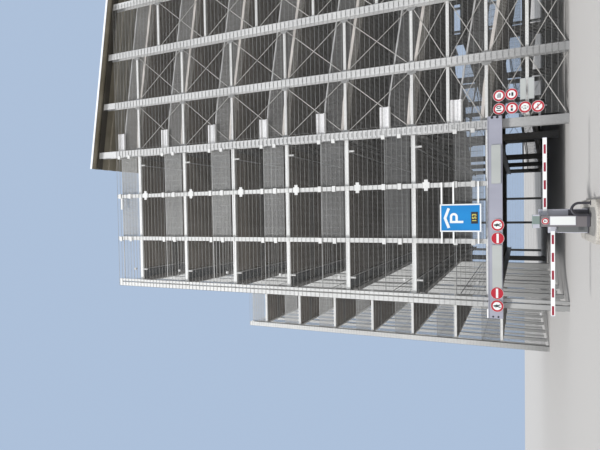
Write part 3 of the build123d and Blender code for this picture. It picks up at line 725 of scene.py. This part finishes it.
def makeFittings():
    front = meshFace - fittings["standOff"]
    shape = bmesh.new()
    width, thick, tall = fittings["clampSize"]
    for x, shift, share in fittings["clampPosts"]:
        for height in fittings["clampHeights"]:
            addClamp(shape, x + shift, storey + height, (width * share, thick, tall), front)
    y, radius = behindFacade(fittings["stubBack"]), fittings["stubRadius"]
    z0, z1 = storey + fittings["stubEnd"], storey + fittings["stubTop"]
    share, tall = fittings["flange"]
    for x in fittings["stubPlaces"]:
        addDisc(shape, (x, y, (z0 + z1) / 2), radius, z1 - z0, "Z", 16)
        addDisc(shape, (x, y, z1 - tall / 2), radius * share, tall, "Z", 16)
    x, half = fittings["stubPlaces"][0], fittings["boxWidth"] / 2
    z0, z1 = (storey + height for height in fittings["boxHeights"])
    boxFront = behindFacade(fittings["boxFront"])
    addSoftBlock(shape, (x - half, boxFront, z0), (x + half, y, z1), "round", segments=2)
    upTheStoreys(shape)
    x = rightPost + fittings["plateShift"]
    right, up = fittings["plateBolts"]
    for level in range(2, site["levels"] + 1):
        z = level * storey + fittings["plateHeight"]
        for size in fittings["plates"]:
            addPlate(shape, x, z, size, front)
        for dx in (-right, right):
            for dz in (-up, up):
                addBolt(shape, (x + dx, front - fittings["plates"][0][1], z + dz))
    size, (shift, height) = fittings["barSize"], fittings["barPlace"]
    addPlate(shape, rightPost + shift - size[0] / 2, topDeck + height, size, front, "round")
    finished("entrancePostFittings", shape, ["postSteel"])


# ribs of the folded sheet under the decks, with the strips and drain pipes beside them
soffit = {
    "pitch": 0.3,
    "root": 0.16,
    "tip": 0.1,
    "depth": 0.045,
    "endGap": 0.02,
    "start": 0.05,
    "pipe": 0.025,
    "ribsFromPipe": 0.06,
    "stripFromPipe": 0.05,
    "stripFromPosts": 0.01,
}


def addRib(shape, x0, x1, y):
    z1 = storey - site["slab"]
    verts = addBlock(shape, (x0, y, z1 - soffit["depth"]), (x1, y + soffit["root"], z1))
    lower = [v for v in verts if v.co.z < z1 - soffit["depth"] / 2]
    bmesh.ops.scale(shape, vec=(1, soffit["tip"] / soffit["root"], 1), verts=lower,
                    space=Matrix.Translation((0, -y - soffit["root"] / 2, 0)))
    return verts


def makeSoffits():
    column, gap = site["column"], soffit["endGap"]
    split, ramp = -column / 2, -site["rampLine"]
    inner, outer = column / 2 - site["cornerLine"], column / 2 - site["wingLine"]
    wing, end = behindFacade(site["wingFront"]), behindFacade(site["depth"])
    rear = end - column
    pipe = fittings["stubPlaces"][0]
    strips = [  # x from, x to, y from, y to
        (ramp, split, behindFacade(2 * site["sideBay"]), end - 2 * site["stallBay"]),
        (pipe + soffit["ribsFromPipe"], ramp, facade + column, rear),
        (outer, inner, wing + column, rear),
    ]
    shape = bmesh.new()
    for x0, x1, y0, y1 in strips:
        rib = addRib(shape, x0 + gap, x1 - gap, y0 + soffit["start"])
        inRow(shape, rib, (0, soffit["pitch"], 0), int((y1 - y0) / soffit["pitch"]))
    throughBothHalves(shape)
    finished("deckSoffitRibs", shape, ["deckSheet"])
    shape = bmesh.new()
    z1 = storey - site["slab"]
    z0 = z1 - soffit["depth"]
    addBlock(shape, (inner + soffit["stripFromPosts"], facade + column, z0),
             (pipe - soffit["stripFromPipe"], wing, z1))
    front, radius = behindFacade(fittings["stubBack"]), soffit["pipe"]
    for x in fittings["stubPlaces"]:
        addDisc(shape, (x, (front + wing) / 2, z0 - radius), radius, wing - front, sides=10, wear=1)
    throughBothHalves(shape)
    finished("deckEdgeStrips", shape, ["stripGrey", "railZinc"])


# plates round the inner columns on each deck, which also cap the columns at the top
collar = {
    "size": 0.34,
    "thick": 0.01,
    "columns": ((site["rampLine"], 13.5), (site["cornerLine"], 18.54)),  # from split line and facade
}


def makeCollars():
    shape = bmesh.new()
    half = collar["size"] / 2
    for x, distance in collar["columns"]:
        y = behindFacade(distance)
        addSoftBlock(shape, (-x - half, y - half, storey), (-x + half, y + half, storey + collar["thick"]),
                     "edge")
    throughBothHalves(shape)
    finished("columnCollars", shape, ["deckConcrete"])


makeSoffits()
makeCollars()
print("deck soffits done")


def rampBays(bays):  # faces of the columns beside each bay, and how far its decks are lower
    half, headHalf = site["column"] / 2, site["headColumn"] / 2
    for bay in bays:
        x0 = (bay - 2) * site["stallBay"] + (headHalf if bay == 0 else half)
        x1 = (bay - 1) * site["stallBay"] - (headHalf if bay == 3 else half)
        yield x0, x1, 0 if bay < 2 else halfStorey


# corner gussets with bolts where ties and rods meet the ramp columns
gusset = {
    "outline": ((0, 0.11), (0.0715, 0.11), (0.13, 0.02), (0.13, -0.09), (0.0585, -0.24), (0, -0.24)),
    "bolts": ((0.085, -0.045), (0.045, -0.16)),
    "boltSize": 0.016,
    "thick": 0.012,
    "frontInset": 0.07,
    "rearInset": 0.095,
}


def addGusset(shape, x, y, z, side):
    corners = [shape.verts.new((x + side * a, y, z + b)) for a, b in gusset["outline"]]
    pushed = bmesh.ops.extrude_face_region(shape, geom=[shape.faces.new(corners)])
    bmesh.ops.translate(shape, vec=(0, -gusset["thick"], 0), verts=vertsIn(pushed))
    for a, b in gusset["bolts"]:
        addBolt(shape, (x + side * a, y - gusset["thick"], z + b), gusset["boltSize"], gusset["boltSize"])


def makeGussets():
    shape = bmesh.new()
    for y in (behindFacade(site["column"]) - gusset["frontInset"],
              behindFacade(site["depth"] - site["column"]) + gusset["rearInset"]):
        for x0, x1, drop in rampBays(range(4)):
            for level in range(site["levels"]):
                z = (level + 1) * storey - drop
                addGusset(shape, x0, y, z, 1)
                addGusset(shape, x1, y, z, -1)
    finished("rampColumnGussets", shape, ["gussetSteel"])


# round rods that cross in the panels between the ramp columns
rods = {"radius": 0.017, "tie": 0.11, "inset": 0.02, "sides": 8}


def addRod(shape, start, end, y):
    lean = math.atan2(end[0] - start[0], end[1] - start[1])
    middle = Vector(((start[0] + end[0]) / 2, y, (start[1] + end[1]) / 2))
    bmesh.ops.create_cone(shape, cap_ends=True, segments=rods["sides"], radius1=rods["radius"],
                          radius2=rods["radius"], depth=math.dist(start, end),
                          matrix=Matrix.Translation(middle) @ Matrix.Rotation(lean, 4, "Y"))


def makeRods():
    shape = bmesh.new()
    radius, inset = rods["radius"], rods["inset"]
    rear = behindFacade(site["depth"] - site["column"])
    for bays, y, back in ((range(4), behindFacade(site["column"]) - radius, -1),
                          ((1, 2), rear + radius, 1)):
        for x0, x1, drop in rampBays(bays):
            x0, x1 = x0 + inset, x1 - inset
            tops = [(n + 1) * storey - drop for n in range(site["levels"])]
            tops += [storey] if drop else [halfStorey, storey + halfStorey]
            tops = [0] + sorted(tops)
            for z0, z1 in zip(tops[:-1], tops[1:]):
                z0, z1 = z0 + inset, z1 - rods["tie"] - inset
                addRod(shape, (x0, z0), (x1, z1), y)
                addRod(shape, (x0, z1), (x1, z0), y + back * 2 * radius)
    finished("crossedRods", shape, ["rodZinc"], stands=["brace_rods"])


makeFittings()
makeGussets()
makeRods()
print("fittings done")


# details of the gateway beam: end plate, bolts, lip, seats of the posts and bracket
gateway = {
    "faceInset": 0.02,  # front of the box, behind the lip of its flange
    "plate": 0.16,
    "thick": 0.012,
    "margins": (0.01, 0.03),
    "boltHeights": (0.16, 0.34),
    "rightBolts": (0.05, 0.03, 0.012),  # inset, radius, and how far they start before the face
    "leftBolts": (0.06, 0.022, 0.002),
    "boltDepth": 0.02,
    "lip": 0.022,
    "seat": (0.17, 0.2, 0.03, 0.015),  # half width, back, front and height
    "bracket": (0.34, 0.01, 0.02, 0.05),  # width, front, back and height
}


def makeGateway():
    low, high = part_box("entrance_beam")
    face = low.y + gateway["faceInset"]
    front = face - gateway["thick"]
    shape = bmesh.new()
    below, above = gateway["margins"]
    addSoftBlock(shape, (high.x - gateway["plate"], front, low.z + below), (high.x, face, high.z - above),
                 "edge")
    for end, side, bolts in ((high.x, -1, "rightBolts"), (low.x, 1, "leftBolts")):
        inset, radius, before = gateway[bolts]
        for height in gateway["boltHeights"]:
            addBolt(shape, (end + side * inset, face - before, low.z + height), radius,
                    gateway["boltDepth"], 1)
    addSoftBlock(shape, (low.x, front, low.z), (high.x, face, low.z + gateway["lip"]), "edge")
    half, back, near, tall = gateway["seat"]
    for x in (leftPost, rightPost):
        addSoftBlock(shape, (x - half, facade - back, high.z), (x + half, facade - near, high.z + tall),
                     "edge", 2)
    wide, near, back, tall = gateway["bracket"]
    addSoftBlock(shape, (low.x, low.y + near, high.z), (low.x + wide, high.y - back, high.z + tall),
                 "round", 2, 2)
    finished("gatewayBeamDetails", shape, ["beamPaint", "signDark", "edgeSteel"])


makeGateway()


# round traffic signs and bare plates; places are metres from the left corner, and heights
boards = {
    "radius": 0.23,
    "smallRadius": 0.215,
    "thick": 0.014,
    "ringThick": 0.002,
    "markThick": 0.003,
    "rimBevel": 0.004,
    "sides": 40,
    "beamSigns": [(-0.05, 2.38, "walker"), (0.42, 2.38, "noEntry"), (2.44, 2.35, "noEntry"),
                  (2.93, 2.35, "walker")],
    "wallSigns": [(7.18, 2.28, "limit"), (7.66, 2.28, "lorry"), (7.17, 1.85, "pair"), (7.67, 1.86, "stack"),
                  (7.16, 1.42, "height"), (7.15, 1.00, "smoke")],
    "beamPlates": [(0.61, 2.20, 2.20, 2.55), (4.44, 5.87, 2.22, 2.56)],
    "wallPlates": [(7.44, 8.20, 1.38, 1.58), (7.44, 8.20, 1.11, 1.31)],
    "standOff": (0.004, 0.06),  # from the beam, and from the mesh
    "clip": (0.12, 0.1, 0.015, 0.02),  # half width, distance from the middle, half height and depth
    "plateRim": (0.014, 0.012, 0.002),  # thickness, width, and how far the sheet stands out of it
    "plateBolt": (0.035, 0.006, 0.004, 0.003),  # inset, radius, height, and place before the plate
    "plateArm": (0.15, 0.015, 0.05),  # inset, half width and margin
    "tubes": ((7.17, 0.72), (7.665, 1.58)),  # place and foot
    "tube": (0.038, 0.02, 2.5),  # distance behind the discs, radius and top
}
signWears = ["signBack", "signRed", "signWhite", "signDark", "plateWhite"]
back, red, white, dark, bare = range(5)
signRings = ((0.955, 0.001, white), (0.93, 0.002, red), (0.65, 0.003, white))  # share, lift and wear
signMarks = {  # shares of the radius: right, up, width and height; then wear, turn and lift
    "noEntry": [(0, 0, 1.5, 0.34, white, 0, 0)],
    "walker": [(0, 0.1, 0.3, 0.42, dark, 0, 0), (-0.14, -0.28, 0.15, 0.5, dark, 0.35, 0),
               (0.14, -0.28, 0.15, 0.5, dark, -0.35, 0), (0, 0.12, 0.56, 0.1, dark, 0.3, 0)],
    "height": [(0, 0.45, 0.3, 0.1, dark, 0, 0), (0, -0.45, 0.3, 0.1, dark, 0, 0)],
    "lorry": [(-0.08, 0.1, 0.56, 0.44, back, 0, 0), (0.3, 0.02, 0.18, 0.28, back, 0, 0),
              (0, -0.2, 0.74, 0.1, dark, 0, 0)],
    "pair": [(-0.27, 0.02, 0.4, 0.32, dark, 0, 0), (0.27, 0.02, 0.4, 0.32, red, 0, 0)],
    "stack": [(0, 0.3, 0.4, 0.2, dark, 0, 0), (0, -0.12, 0.6, 0.3, dark, 0, 0)],
    "smoke": [(0, 0, 0.8, 0.13, dark, 0, 0), (0, 0, 1.5, 0.16, red, 0.78, 0.002)],
}
signFigures = {"limit": ("10", 0.78), "height": ("2.1", 0.42)}  # with their height as a share
signHeads = {"walker": (0.42, 0.13, 0.001)}  # up, radius and lift


def addMark(shape, x, y, z, width, height, wear, turn=0.0):
    half, tall = width / 2, height / 2
    verts = addBlock(shape, (x - half, y - boards["markThick"], z - tall), (x + half, y, z + tall), wear)
    if turn:
        bmesh.ops.rotate(shape, cent=(x, y, z), matrix=Matrix.Rotation(turn, 3, "Y"), verts=verts)


def addSign(shape, x, y, z, radius, face):
    thick, sides = boards["thick"], boards["sides"]
    front = y - thick
    verts = addDisc(shape, (x, y - thick / 2, z), radius, thick, sides=sides)
    edges = {e for v in verts for e in v.link_edges}
    rim = [e for e in edges if all(v.co.y < y - thick / 2 for v in e.verts)]
    bmesh.ops.bevel(shape, geom=rim, offset=boards["rimBevel"], affect="EDGES", segments=1, profile=0.5,
                    material=-1)
    half, far, tall, deep = boards["clip"]
    for up in (-far, far):  # clips behind
        addBlock(shape, (x - half, y, z + up - tall), (x + half, y + deep, z + up + tall))
    for share, lift, wear in signRings[:2] if face == "noEntry" else signRings:
        addDisc(shape, (x, front - lift, z), radius * share, boards["ringThick"], sides=sides, wear=wear)
    front -= lift + boards["ringThick"] / 2
    if face in signHeads:
        up, share, lift = signHeads[face]
        addDisc(shape, (x, front - lift, z + radius * up), radius * share, boards["markThick"], sides=12,
                wear=dark)
    for right, up, width, height, wear, turn, lift in signMarks.get(face, []):
        addMark(shape, x + radius * right, front - lift, z + radius * up, radius * width, radius * height,
                wear, turn)
    if face in signFigures:
        words, share = signFigures[face]
        addFigures(shape, words, (x, front, z), radius * share, dark)


def addFramed(shape, x0, x1, z0, z1, y, rim, wears):  # a plate, with a sheet inside its rim
    thick, wide, out = rim
    front = y - thick
    addSoftBlock(shape, (x0, front, z0), (x1, y, z1), "edge", wears[0])
    addSoftBlock(shape, (x0 + wide, front - out, z0 + wide), (x1 - wide, front, z1 - wide),
                 "fine", wears[1])


def addBarePlate(shape, x0, x1, z0, z1, y):
    addFramed(shape, x0, x1, z0, z1, y, boards["plateRim"], (back, bare))
    inset, radius, tall, before = boards["plateBolt"]
    for x in (x0 + inset, x1 - inset):
        for z in (z0 + inset, z1 - inset):
            addBolt(shape, (x, y - boards["thick"] - before, z), radius, tall)


def addSignGroup(shape, group, radius, face):
    for x, z, kind in boards[group + "Signs"]:
        addSign(shape, fromCorner(x), face, z, radius, kind)
    for x0, x1, z0, z1 in boards[group + "Plates"]:
        addBarePlate(shape, fromCorner(x0), fromCorner(x1), z0, z1, face)


def makeSigns():
    beamGap, meshGap = boards["standOff"]
    shape = bmesh.new()
    addSignGroup(shape, "beam", boards["radius"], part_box("entrance_beam")[0].y - beamGap)
    finished("gatewaySigns", shape, signWears)
    shape = bmesh.new()
    face = meshFace - meshGap
    addSignGroup(shape, "wall", boards["smallRadius"], face)
    inset, half, margin = boards["plateArm"]
    for x0, x1, z0, z1 in boards["wallPlates"]:
        for x in (fromCorner(x0) + inset, fromCorner(x1) - inset):
            addBlock(shape, (x - half, face, z0 + margin), (x + half, meshFace, z1 - margin))
    behind, radius, top = boards["tube"]
    for x, foot in boards["tubes"]:  # they carry the discs
        addDisc(shape, (fromCorner(x), face + behind, (foot + top) / 2), radius, top - foot, "Z", 12)
    finished("wallSigns", shape, signWears)


# parking board: white frame, roof mark and P, with a number display; places from its low corner
parking = {
    "border": 0.05,
    "borderProud": 0.004,
    "proud": 0.005,
    "roof": ((0.15, 1.17), (0.525, 1.31), (0.9, 1.17)),  # left foot, apex and right foot
    "roofStroke": 0.1,
    "roofOverlap": 0.0005,  # the right leaf lies this much over the left one
    "apex": (0.003, 0.0056),  # middle of its disc before the board, and thickness
    "stroke": 0.085,
    "stem": (0.335, 0.64, 1.13),  # left, bottom and top
    "bowl": (0.24, 0.29),  # from the stem to its centre, and its height
    "panel": ((0.31, 0.12), (0.75, 0.36)),
    "panelProud": 0.012,
    "digits": ("153", 0.15, 0.001),  # height, and distance before the panel
    "bowlSteps": 14,
    "post": (0.09, 0.02, 0.02),  # inset, half width and depth
}


def addLeaning(shape, start, end, stroke, y0, y1):
    half = math.dist(start, end) / 2
    lean = math.atan2(end[1] - start[1], end[0] - start[0])
    x, y, z = (start[0] + end[0]) / 2, (y0 + y1) / 2, (start[1] + end[1]) / 2
    verts = addBlock(shape, (x - half, y0, z - stroke / 2), (x + half, y1, z + stroke / 2))
    bmesh.ops.rotate(shape, cent=(x, y, z), matrix=Matrix.Rotation(-lean, 3, "Y"), verts=verts)


def makeParkingBoard():
    low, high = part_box("parking_sign_board")
    y, edge, proud = low.y, parking["border"], parking["proud"]
    shape = bmesh.new()
    for x0, z0, x1, z1 in ((low.x, low.z, high.x, low.z + edge), (low.x, high.z - edge, high.x, high.z),
                           (low.x, low.z + edge, low.x + edge, high.z - edge),
                           (high.x - edge, low.z + edge, high.x, high.z - edge)):
        addBlock(shape, (x0, y - parking["borderProud"], z0), (x1, y, z1))
    left, apex, right = ((low.x + a, low.z + b) for a, b in parking["roof"])
    stroke = parking["roofStroke"]
    addLeaning(shape, left, apex, stroke, y - proud, y)
    addLeaning(shape, apex, right, stroke, y - proud - parking["roofOverlap"], y)
    before, thick = parking["apex"]
    addDisc(shape, (apex[0], y - before, apex[1]), stroke / 2, thick, sides=20)
    stroke = parking["stroke"]
    stem, bottom, top = (a + b for a, b in zip((low.x, low.z, low.z), parking["stem"]))
    addBlock(shape, (stem, y - proud, bottom), (stem + stroke, y, top))
    reach, bowl = parking["bowl"]
    centre = (stem + reach, y, top - bowl / 2)
    for z in (top - stroke, top - bowl):
        addBlock(shape, (stem + stroke, y - proud, z), (centre[0], y, z + stroke))
    start = Matrix.LocRotScale((centre[0], y - proud / 2, top - stroke / 2), None, (1, proud, stroke))
    turn = Matrix.Rotation(math.pi / 2, 4, "Y")
    verts = bmesh.ops.create_grid(shape, x_segments=1, y_segments=1, size=0.5, matrix=start @ turn)["verts"]
    bmesh.ops.spin(shape, geom=geometryOf(verts), cent=centre, axis=(0, 1, 0), angle=math.pi,
                   steps=parking["bowlSteps"], use_duplicate=False)
    (x0, z0), (x1, z1) = ((low.x + a, low.z + b) for a, b in parking["panel"])
    out = parking["panelProud"]
    addSoftBlock(shape, (x0, y - out, z0), (x1, y, z1), "plate", 1)
    digits, tall, before = parking["digits"]
    addFigures(shape, digits, ((x0 + x1) / 2, y - out - before, (z0 + z1) / 2), tall, 2)
    inset, half, deep = parking["post"]
    for x in (low.x + inset, high.x - inset):  # posts behind the board, on its rails
        addBlock(shape, (x - half, high.y, low.z), (x + half, high.y + deep, high.z), 3)
    finished("parkingBoardFace", shape, ["signWhite", "signDark", "digitGlow", "signBack"])


makeSigns()
makeParkingBoard()
print("signs done")


pivots = {joint["child"]: joint["pos_m"] for joint in frame["joints"]}

# dashes, end pieces and hubs of the booms
boom = {
    "dashes": {"left": 5, "right": 4},
    "dashLength": 0.22,
    "dashPitch": 0.43,
    "dashHeight": 0.05,
    "dashThick": 0.002,
    "dashSunk": 0.0005,
    "firstDash": 0.17,
    "end": (0.02, 0.048, 0.003),  # width, half height, and how far it stands out
    "hub": (0.08, 0.062, 0.004, -0.001),  # half width, half height, stands out in front and behind
}


def makeBooms():
    for name, side in (("left", -1), ("right", 1)):
        low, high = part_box(name + "_boom")
        body = name + "_barrier_boom"
        pivotX, _, pivotZ = pivots[body]
        shape = bmesh.new()
        half, thick, sunk = boom["dashHeight"] / 2, boom["dashThick"], boom["dashSunk"]
        for face in (low.y - thick + sunk, high.y - sunk):
            for n in range(boom["dashes"][name]):
                a = pivotX + side * (boom["firstDash"] + n * boom["dashPitch"])
                x0, x1 = sorted((a, a + side * boom["dashLength"]))
                addBlock(shape, (x0, face, pivotZ - half), (x1, face + thick, pivotZ + half))
        wide, half, out = boom["end"]
        end = low.x if side < 0 else high.x
        x0, x1 = sorted((end, end - side * wide))
        addSoftBlock(shape, (x0, low.y - out, pivotZ - half), (x1, high.y + out, pivotZ + half), "plate", 1)
        wide, half, out, behind = boom["hub"]
        addSoftBlock(shape, (pivotX - wide, low.y - out, pivotZ - half),
                     (pivotX + wide, high.y + behind, pivotZ + half), "hub", 1, 2)
        finished(name + "BoomTrim", shape, ["boomRed", "cabinetGrey"], body)


# cabinets: lid, doors with lock and vents, and foot
cabinet = {
    "pin": 0.062,  # the pins stand out of the front faces
    "looks": {"left": (0.97, 0.78, 1), "right": (1.18, 0.55, 2)},  # top, top of the darker door, its wear
    "lid": (0.128, 0.03, 0.003, 0.001, 0.006),  # half width, height, then out above, in front and behind
    "door": (0.105, 0.14, 0.005),  # half width, foot, and how far it stands out
    "lock": (0.07, 0.46, 0.012, 0.008),  # right of the middle, height, radius and depth
    "vents": (0.06, 0.22, 0.025, 0.008, 5),  # half width, first height, pitch, height and count
    "ventOut": 0.007,
    "foot": (0.127, 0.12, 0.15, 0.004),  # half width, from, to, and how far it stands out
}


def makeCabinets():
    low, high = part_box("barrier_cabinets")
    front, rear = low.y + cabinet["pin"], high.y
    shape = bmesh.new()
    for name in ("left", "right"):
        x = pivots[name + "_barrier_boom"][0]
        z1, doorTop, wear = cabinet["looks"][name]
        half, tall, above, near, behind = cabinet["lid"]
        addSoftBlock(shape, (x - half, front - near, z1 - tall), (x + half, rear + behind, z1 + above),
                     "lid", 0, 3)
        for y, out in ((front, -1), (rear, 1)):
            half, foot, thick = cabinet["door"]
            y0, y1 = sorted((y, y + out * thick))
            addSoftBlock(shape, (x - half, y0, foot), (x + half, y1, doorTop), "door", wear)
            right, up, radius, deep = cabinet["lock"]
            ventY = y + out * cabinet["ventOut"]
            addDisc(shape, (x + right, ventY, up), radius, deep, sides=12, wear=3)
            half, first, pitch, tall, count = cabinet["vents"]
            y0, y1 = sorted((y, ventY))
            for n in range(count):
                z = first + n * pitch
                addBlock(shape, (x - half, y0, z), (x + half, y1, z + tall), 3)
        half, z0, z1, out = cabinet["foot"]
        addSoftBlock(shape, (x - half, front - out, z0), (x + half, rear + out, z1), "plate", 2)
    finished("cabinetTrim", shape, ["cabinetGrey", "doorGrey", "plinthGrey", "signDark"])


# ticket pillar: head with paler ends, bare notice panel, round button and plinth
pillar = {
    "head": 0.16,
    "headOut": (0.004, 0.003, 0.002),  # in front, above and behind
    "half": 0.13,
    "faceInset": 0.02,  # front of the body, behind the front of the head
    "ends": (0.09, 0.03),  # width at the left and at the right
    "endOut": (0.006, 0.007),  # at the side and in front
    "endDepth": (0.03, 0.008),  # back from the front, and down from the top
    "panel": (0.035, 0.012, 0.41, 0.955),  # inset at the left and the right, from and to
    "rim": (0.008, 0.01, 0.003),  # of the panel: thickness, width, and how far the sheet stands out
    "button": (0.004, 1.05),  # right of the middle, and height
    "rings": ((0.082, 0.004, 4), (0.078, 0.006, 1), (0.05, 0.008, 4)),  # radius, depth and wear
    "marks": ((1.045, 0.016, 0.045), (1.07, 0.04, 0.014)),  # height, then width and height of the mark
    "plinth": (0.003, 0.006, 0.12, 0.19),  # out at the sides and in front, from and to
}


def makePillar():
    low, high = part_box("ticket_pillar")
    x = (low.x + high.x) / 2
    foot, face = high.z - pillar["head"], low.y + pillar["faceInset"]
    left, right = x - pillar["half"], x + pillar["half"]
    shape = bmesh.new()
    out, above, behind = pillar["headOut"]
    addSoftBlock(shape, (low.x - out, low.y - out, foot - out),
                 (high.x + out, high.y + behind, high.z + above), "round", 2, 2)
    (leftEnd, rightEnd), (out, before), (deep, down) = pillar["ends"], pillar["endOut"], pillar["endDepth"]
    for x0, x1 in ((low.x - out, low.x + leftEnd), (high.x - rightEnd, high.x + out)):
        addSoftBlock(shape, (x0, low.y - before, foot), (x1, low.y + deep, high.z - down), "plate", 3)
    leftInset, rightInset, z0, z1 = pillar["panel"]
    addFramed(shape, left + leftInset, right - rightInset, z0, z1, face, pillar["rim"], (3, 4))
    middle, height = x + pillar["button"][0], pillar["button"][1]
    for radius, depth, wear in pillar["rings"]:
        addDisc(shape, (middle, face - depth / 2, height), radius, depth, sides=32, wear=wear)
    for z, width, height in pillar["marks"]:
        addMark(shape, middle, face - pillar["rim"][0], z, width, height, 5)
    aside, out, z0, z1 = pillar["plinth"]
    addSoftBlock(shape, (left - aside, face - out, z0), (right + aside, high.y + behind, z1), "plate", 6)
    finished("ticketPillarFace", shape,
             ["pillarGrey", "signRed", "hoodGreen", "cabinetGrey", "signWhite", "signDark", "plinthGrey"])


# kerb island: a round kerb drawn out into a long one, with a fill a little lower
island = {"sides": 48, "rounding": 0.03, "kerb": 0.14, "joint": (0.01, -0.008), "tolerance": 0.0001}


def makeIsland():
    low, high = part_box("barrier_island")
    x, y, radius = (low.x + high.x) / 2, (low.y + high.y) / 2, (high.x - low.x) / 2
    reach = (high.y - low.y) / 2 - radius
    shape = bmesh.new()
    addDisc(shape, (x, y, high.z / 2), radius, high.z, "Z", island["sides"])
    for vert in shape.verts:
        vert.co.y += reach if vert.co.y > y else -reach
    level = high.z - island["tolerance"]
    rim = [e for e in shape.edges if all(v.co.z > level for v in e.verts)]
    bmesh.ops.bevel(shape, geom=rim, offset=island["rounding"], affect="EDGES", segments=3, profile=0.5,
                    material=-1)
    top = [f for f in shape.faces if f.calc_center_median().z > level and f.calc_area() > 1]
    bmesh.ops.inset_region(shape, faces=top, thickness=island["kerb"], depth=0)
    wide, deep = island["joint"]
    bmesh.ops.inset_region(shape, faces=top, thickness=wide, depth=deep)
    for face in top:
        face.material_index = 1
    finished("kerbIsland", shape, ["kerbStone", "islandFill"],
             stands=["barrier_island"])


# guard hoop: one bent tube on two foot plates
hoop = {"bend": 0.16, "sides": 16, "bendSteps": 8, "foot": (1.9, 0.012, 20)}  # share, thickness and sides


def drawnOut(shape, edges, move):
    made = bmesh.ops.extrude_edge_only(shape, edges=edges)
    bmesh.ops.translate(shape, vec=move, verts=vertsIn(made))
    return [g for g in made["geom"] if isinstance(g, bmesh.types.BMEdge)]


def bentOut(shape, edges, centre):
    made = bmesh.ops.spin(shape, geom=edges, cent=centre, axis=(0, 1, 0), angle=math.pi / 2,
                          steps=hoop["bendSteps"], use_duplicate=False)
    return [g for g in made["geom_last"] if isinstance(g, bmesh.types.BMEdge)]


def makeHoop():
    low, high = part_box("guard_hoop")
    radius, bend = (high.y - low.y) / 2, hoop["bend"]
    left, right, y = low.x + radius, high.x - radius, (low.y + high.y) / 2
    turnHeight = high.z - radius - bend
    shape = bmesh.new()
    ring = bmesh.ops.create_circle(shape, segments=hoop["sides"], radius=radius,
                                   matrix=Matrix.Translation((left, y, low.z)))["verts"]
    loop = list({e for v in ring for e in v.link_edges})
    shape.faces.new(ring)
    loop = drawnOut(shape, loop, (0, 0, turnHeight - low.z))
    loop = bentOut(shape, loop, (left + bend, y, turnHeight))
    loop = drawnOut(shape, loop, (right - left - 2 * bend, 0, 0))
    loop = bentOut(shape, loop, (right - bend, y, turnHeight))
    loop = drawnOut(shape, loop, (0, 0, low.z - turnHeight))
    bmesh.ops.holes_fill(shape, edges=loop)
    share, thick, sides = hoop["foot"]
    for x in (left, right):
        addDisc(shape, (x, y, low.z + thick / 2), radius * share, thick, "Z", sides)
    finished("hoopTube", shape, ["hoopPaint"], stands=["guard_hoop"])


makeBooms()
makeCabinets()
makePillar()
makeIsland()
makeHoop()
print("barrier done")


# pale floor and backdrop light
studio = {
    "floorSize": 400,
    "floorHeight": -0.002,
    "floor": (0.50, 0.48, 0.46),
    "floorRoughness": 0.9,
    "sunStrength": 3.0,
    "sunAngle": 12,
    "sunTurn": (48, 0, -28),
    "sky": 0.75,
    "skyLight": (0.92, 0.96, 1.0),
    "backdrop": (0.42, 0.53, 0.70),
}


def makeFloor():
    shape = bmesh.new()
    bmesh.ops.create_grid(shape, x_segments=1, y_segments=1, size=studio["floorSize"] / 2,
                          matrix=Matrix.Translation((0, 0, studio["floorHeight"])))
    data = bpy.data.meshes.new("paleFloor")
    shape.to_mesh(data)
    shape.free()
    made, tree, shader, _ = nodeTree("paleFloor")
    setInputs(tree, shader, {"Base Color": (*studio["floor"], 1), "Roughness": studio["floorRoughness"]})
    data.materials.append(made)
    placed("paleFloor", data)


def makeLights():
    lamp = bpy.data.lights.new("softSun", "SUN")
    lamp.energy = studio["sunStrength"]
    lamp.angle = math.radians(studio["sunAngle"])
    placed("softSun", lamp).rotation_euler = [math.radians(a) for a in studio["sunTurn"]]
    world = bpy.data.worlds.new("studioSky")
    bpy.context.scene.world = world
    world.use_nodes = True
    tree = world.node_tree
    backing = tree.nodes["Background"]
    setInputs(tree, backing, {"Color": (*studio["skyLight"], 1), "Strength": studio["sky"]})
    pale = addNode(tree, "Background", {"Color": (*studio["backdrop"], 1)}, "Background")
    rays = tree.nodes.new("ShaderNodeLightPath").outputs
    seen = addNode(tree, "Math", {0: rays["Is Camera Ray"], 1: rays["Is Glossy Ray"]}, "Value",
                   operation="MAXIMUM")
    mixed = addNode(tree, "MixShader", {"Fac": seen, 1: backing.outputs["Background"], 2: pale}, "Shader")
    tree.links.new(mixed, tree.nodes["World Output"].inputs["Surface"])


makeFloor()
makeLights()
bpy.context.scene.view_settings.view_transform = "Standard"
print("studio ready")
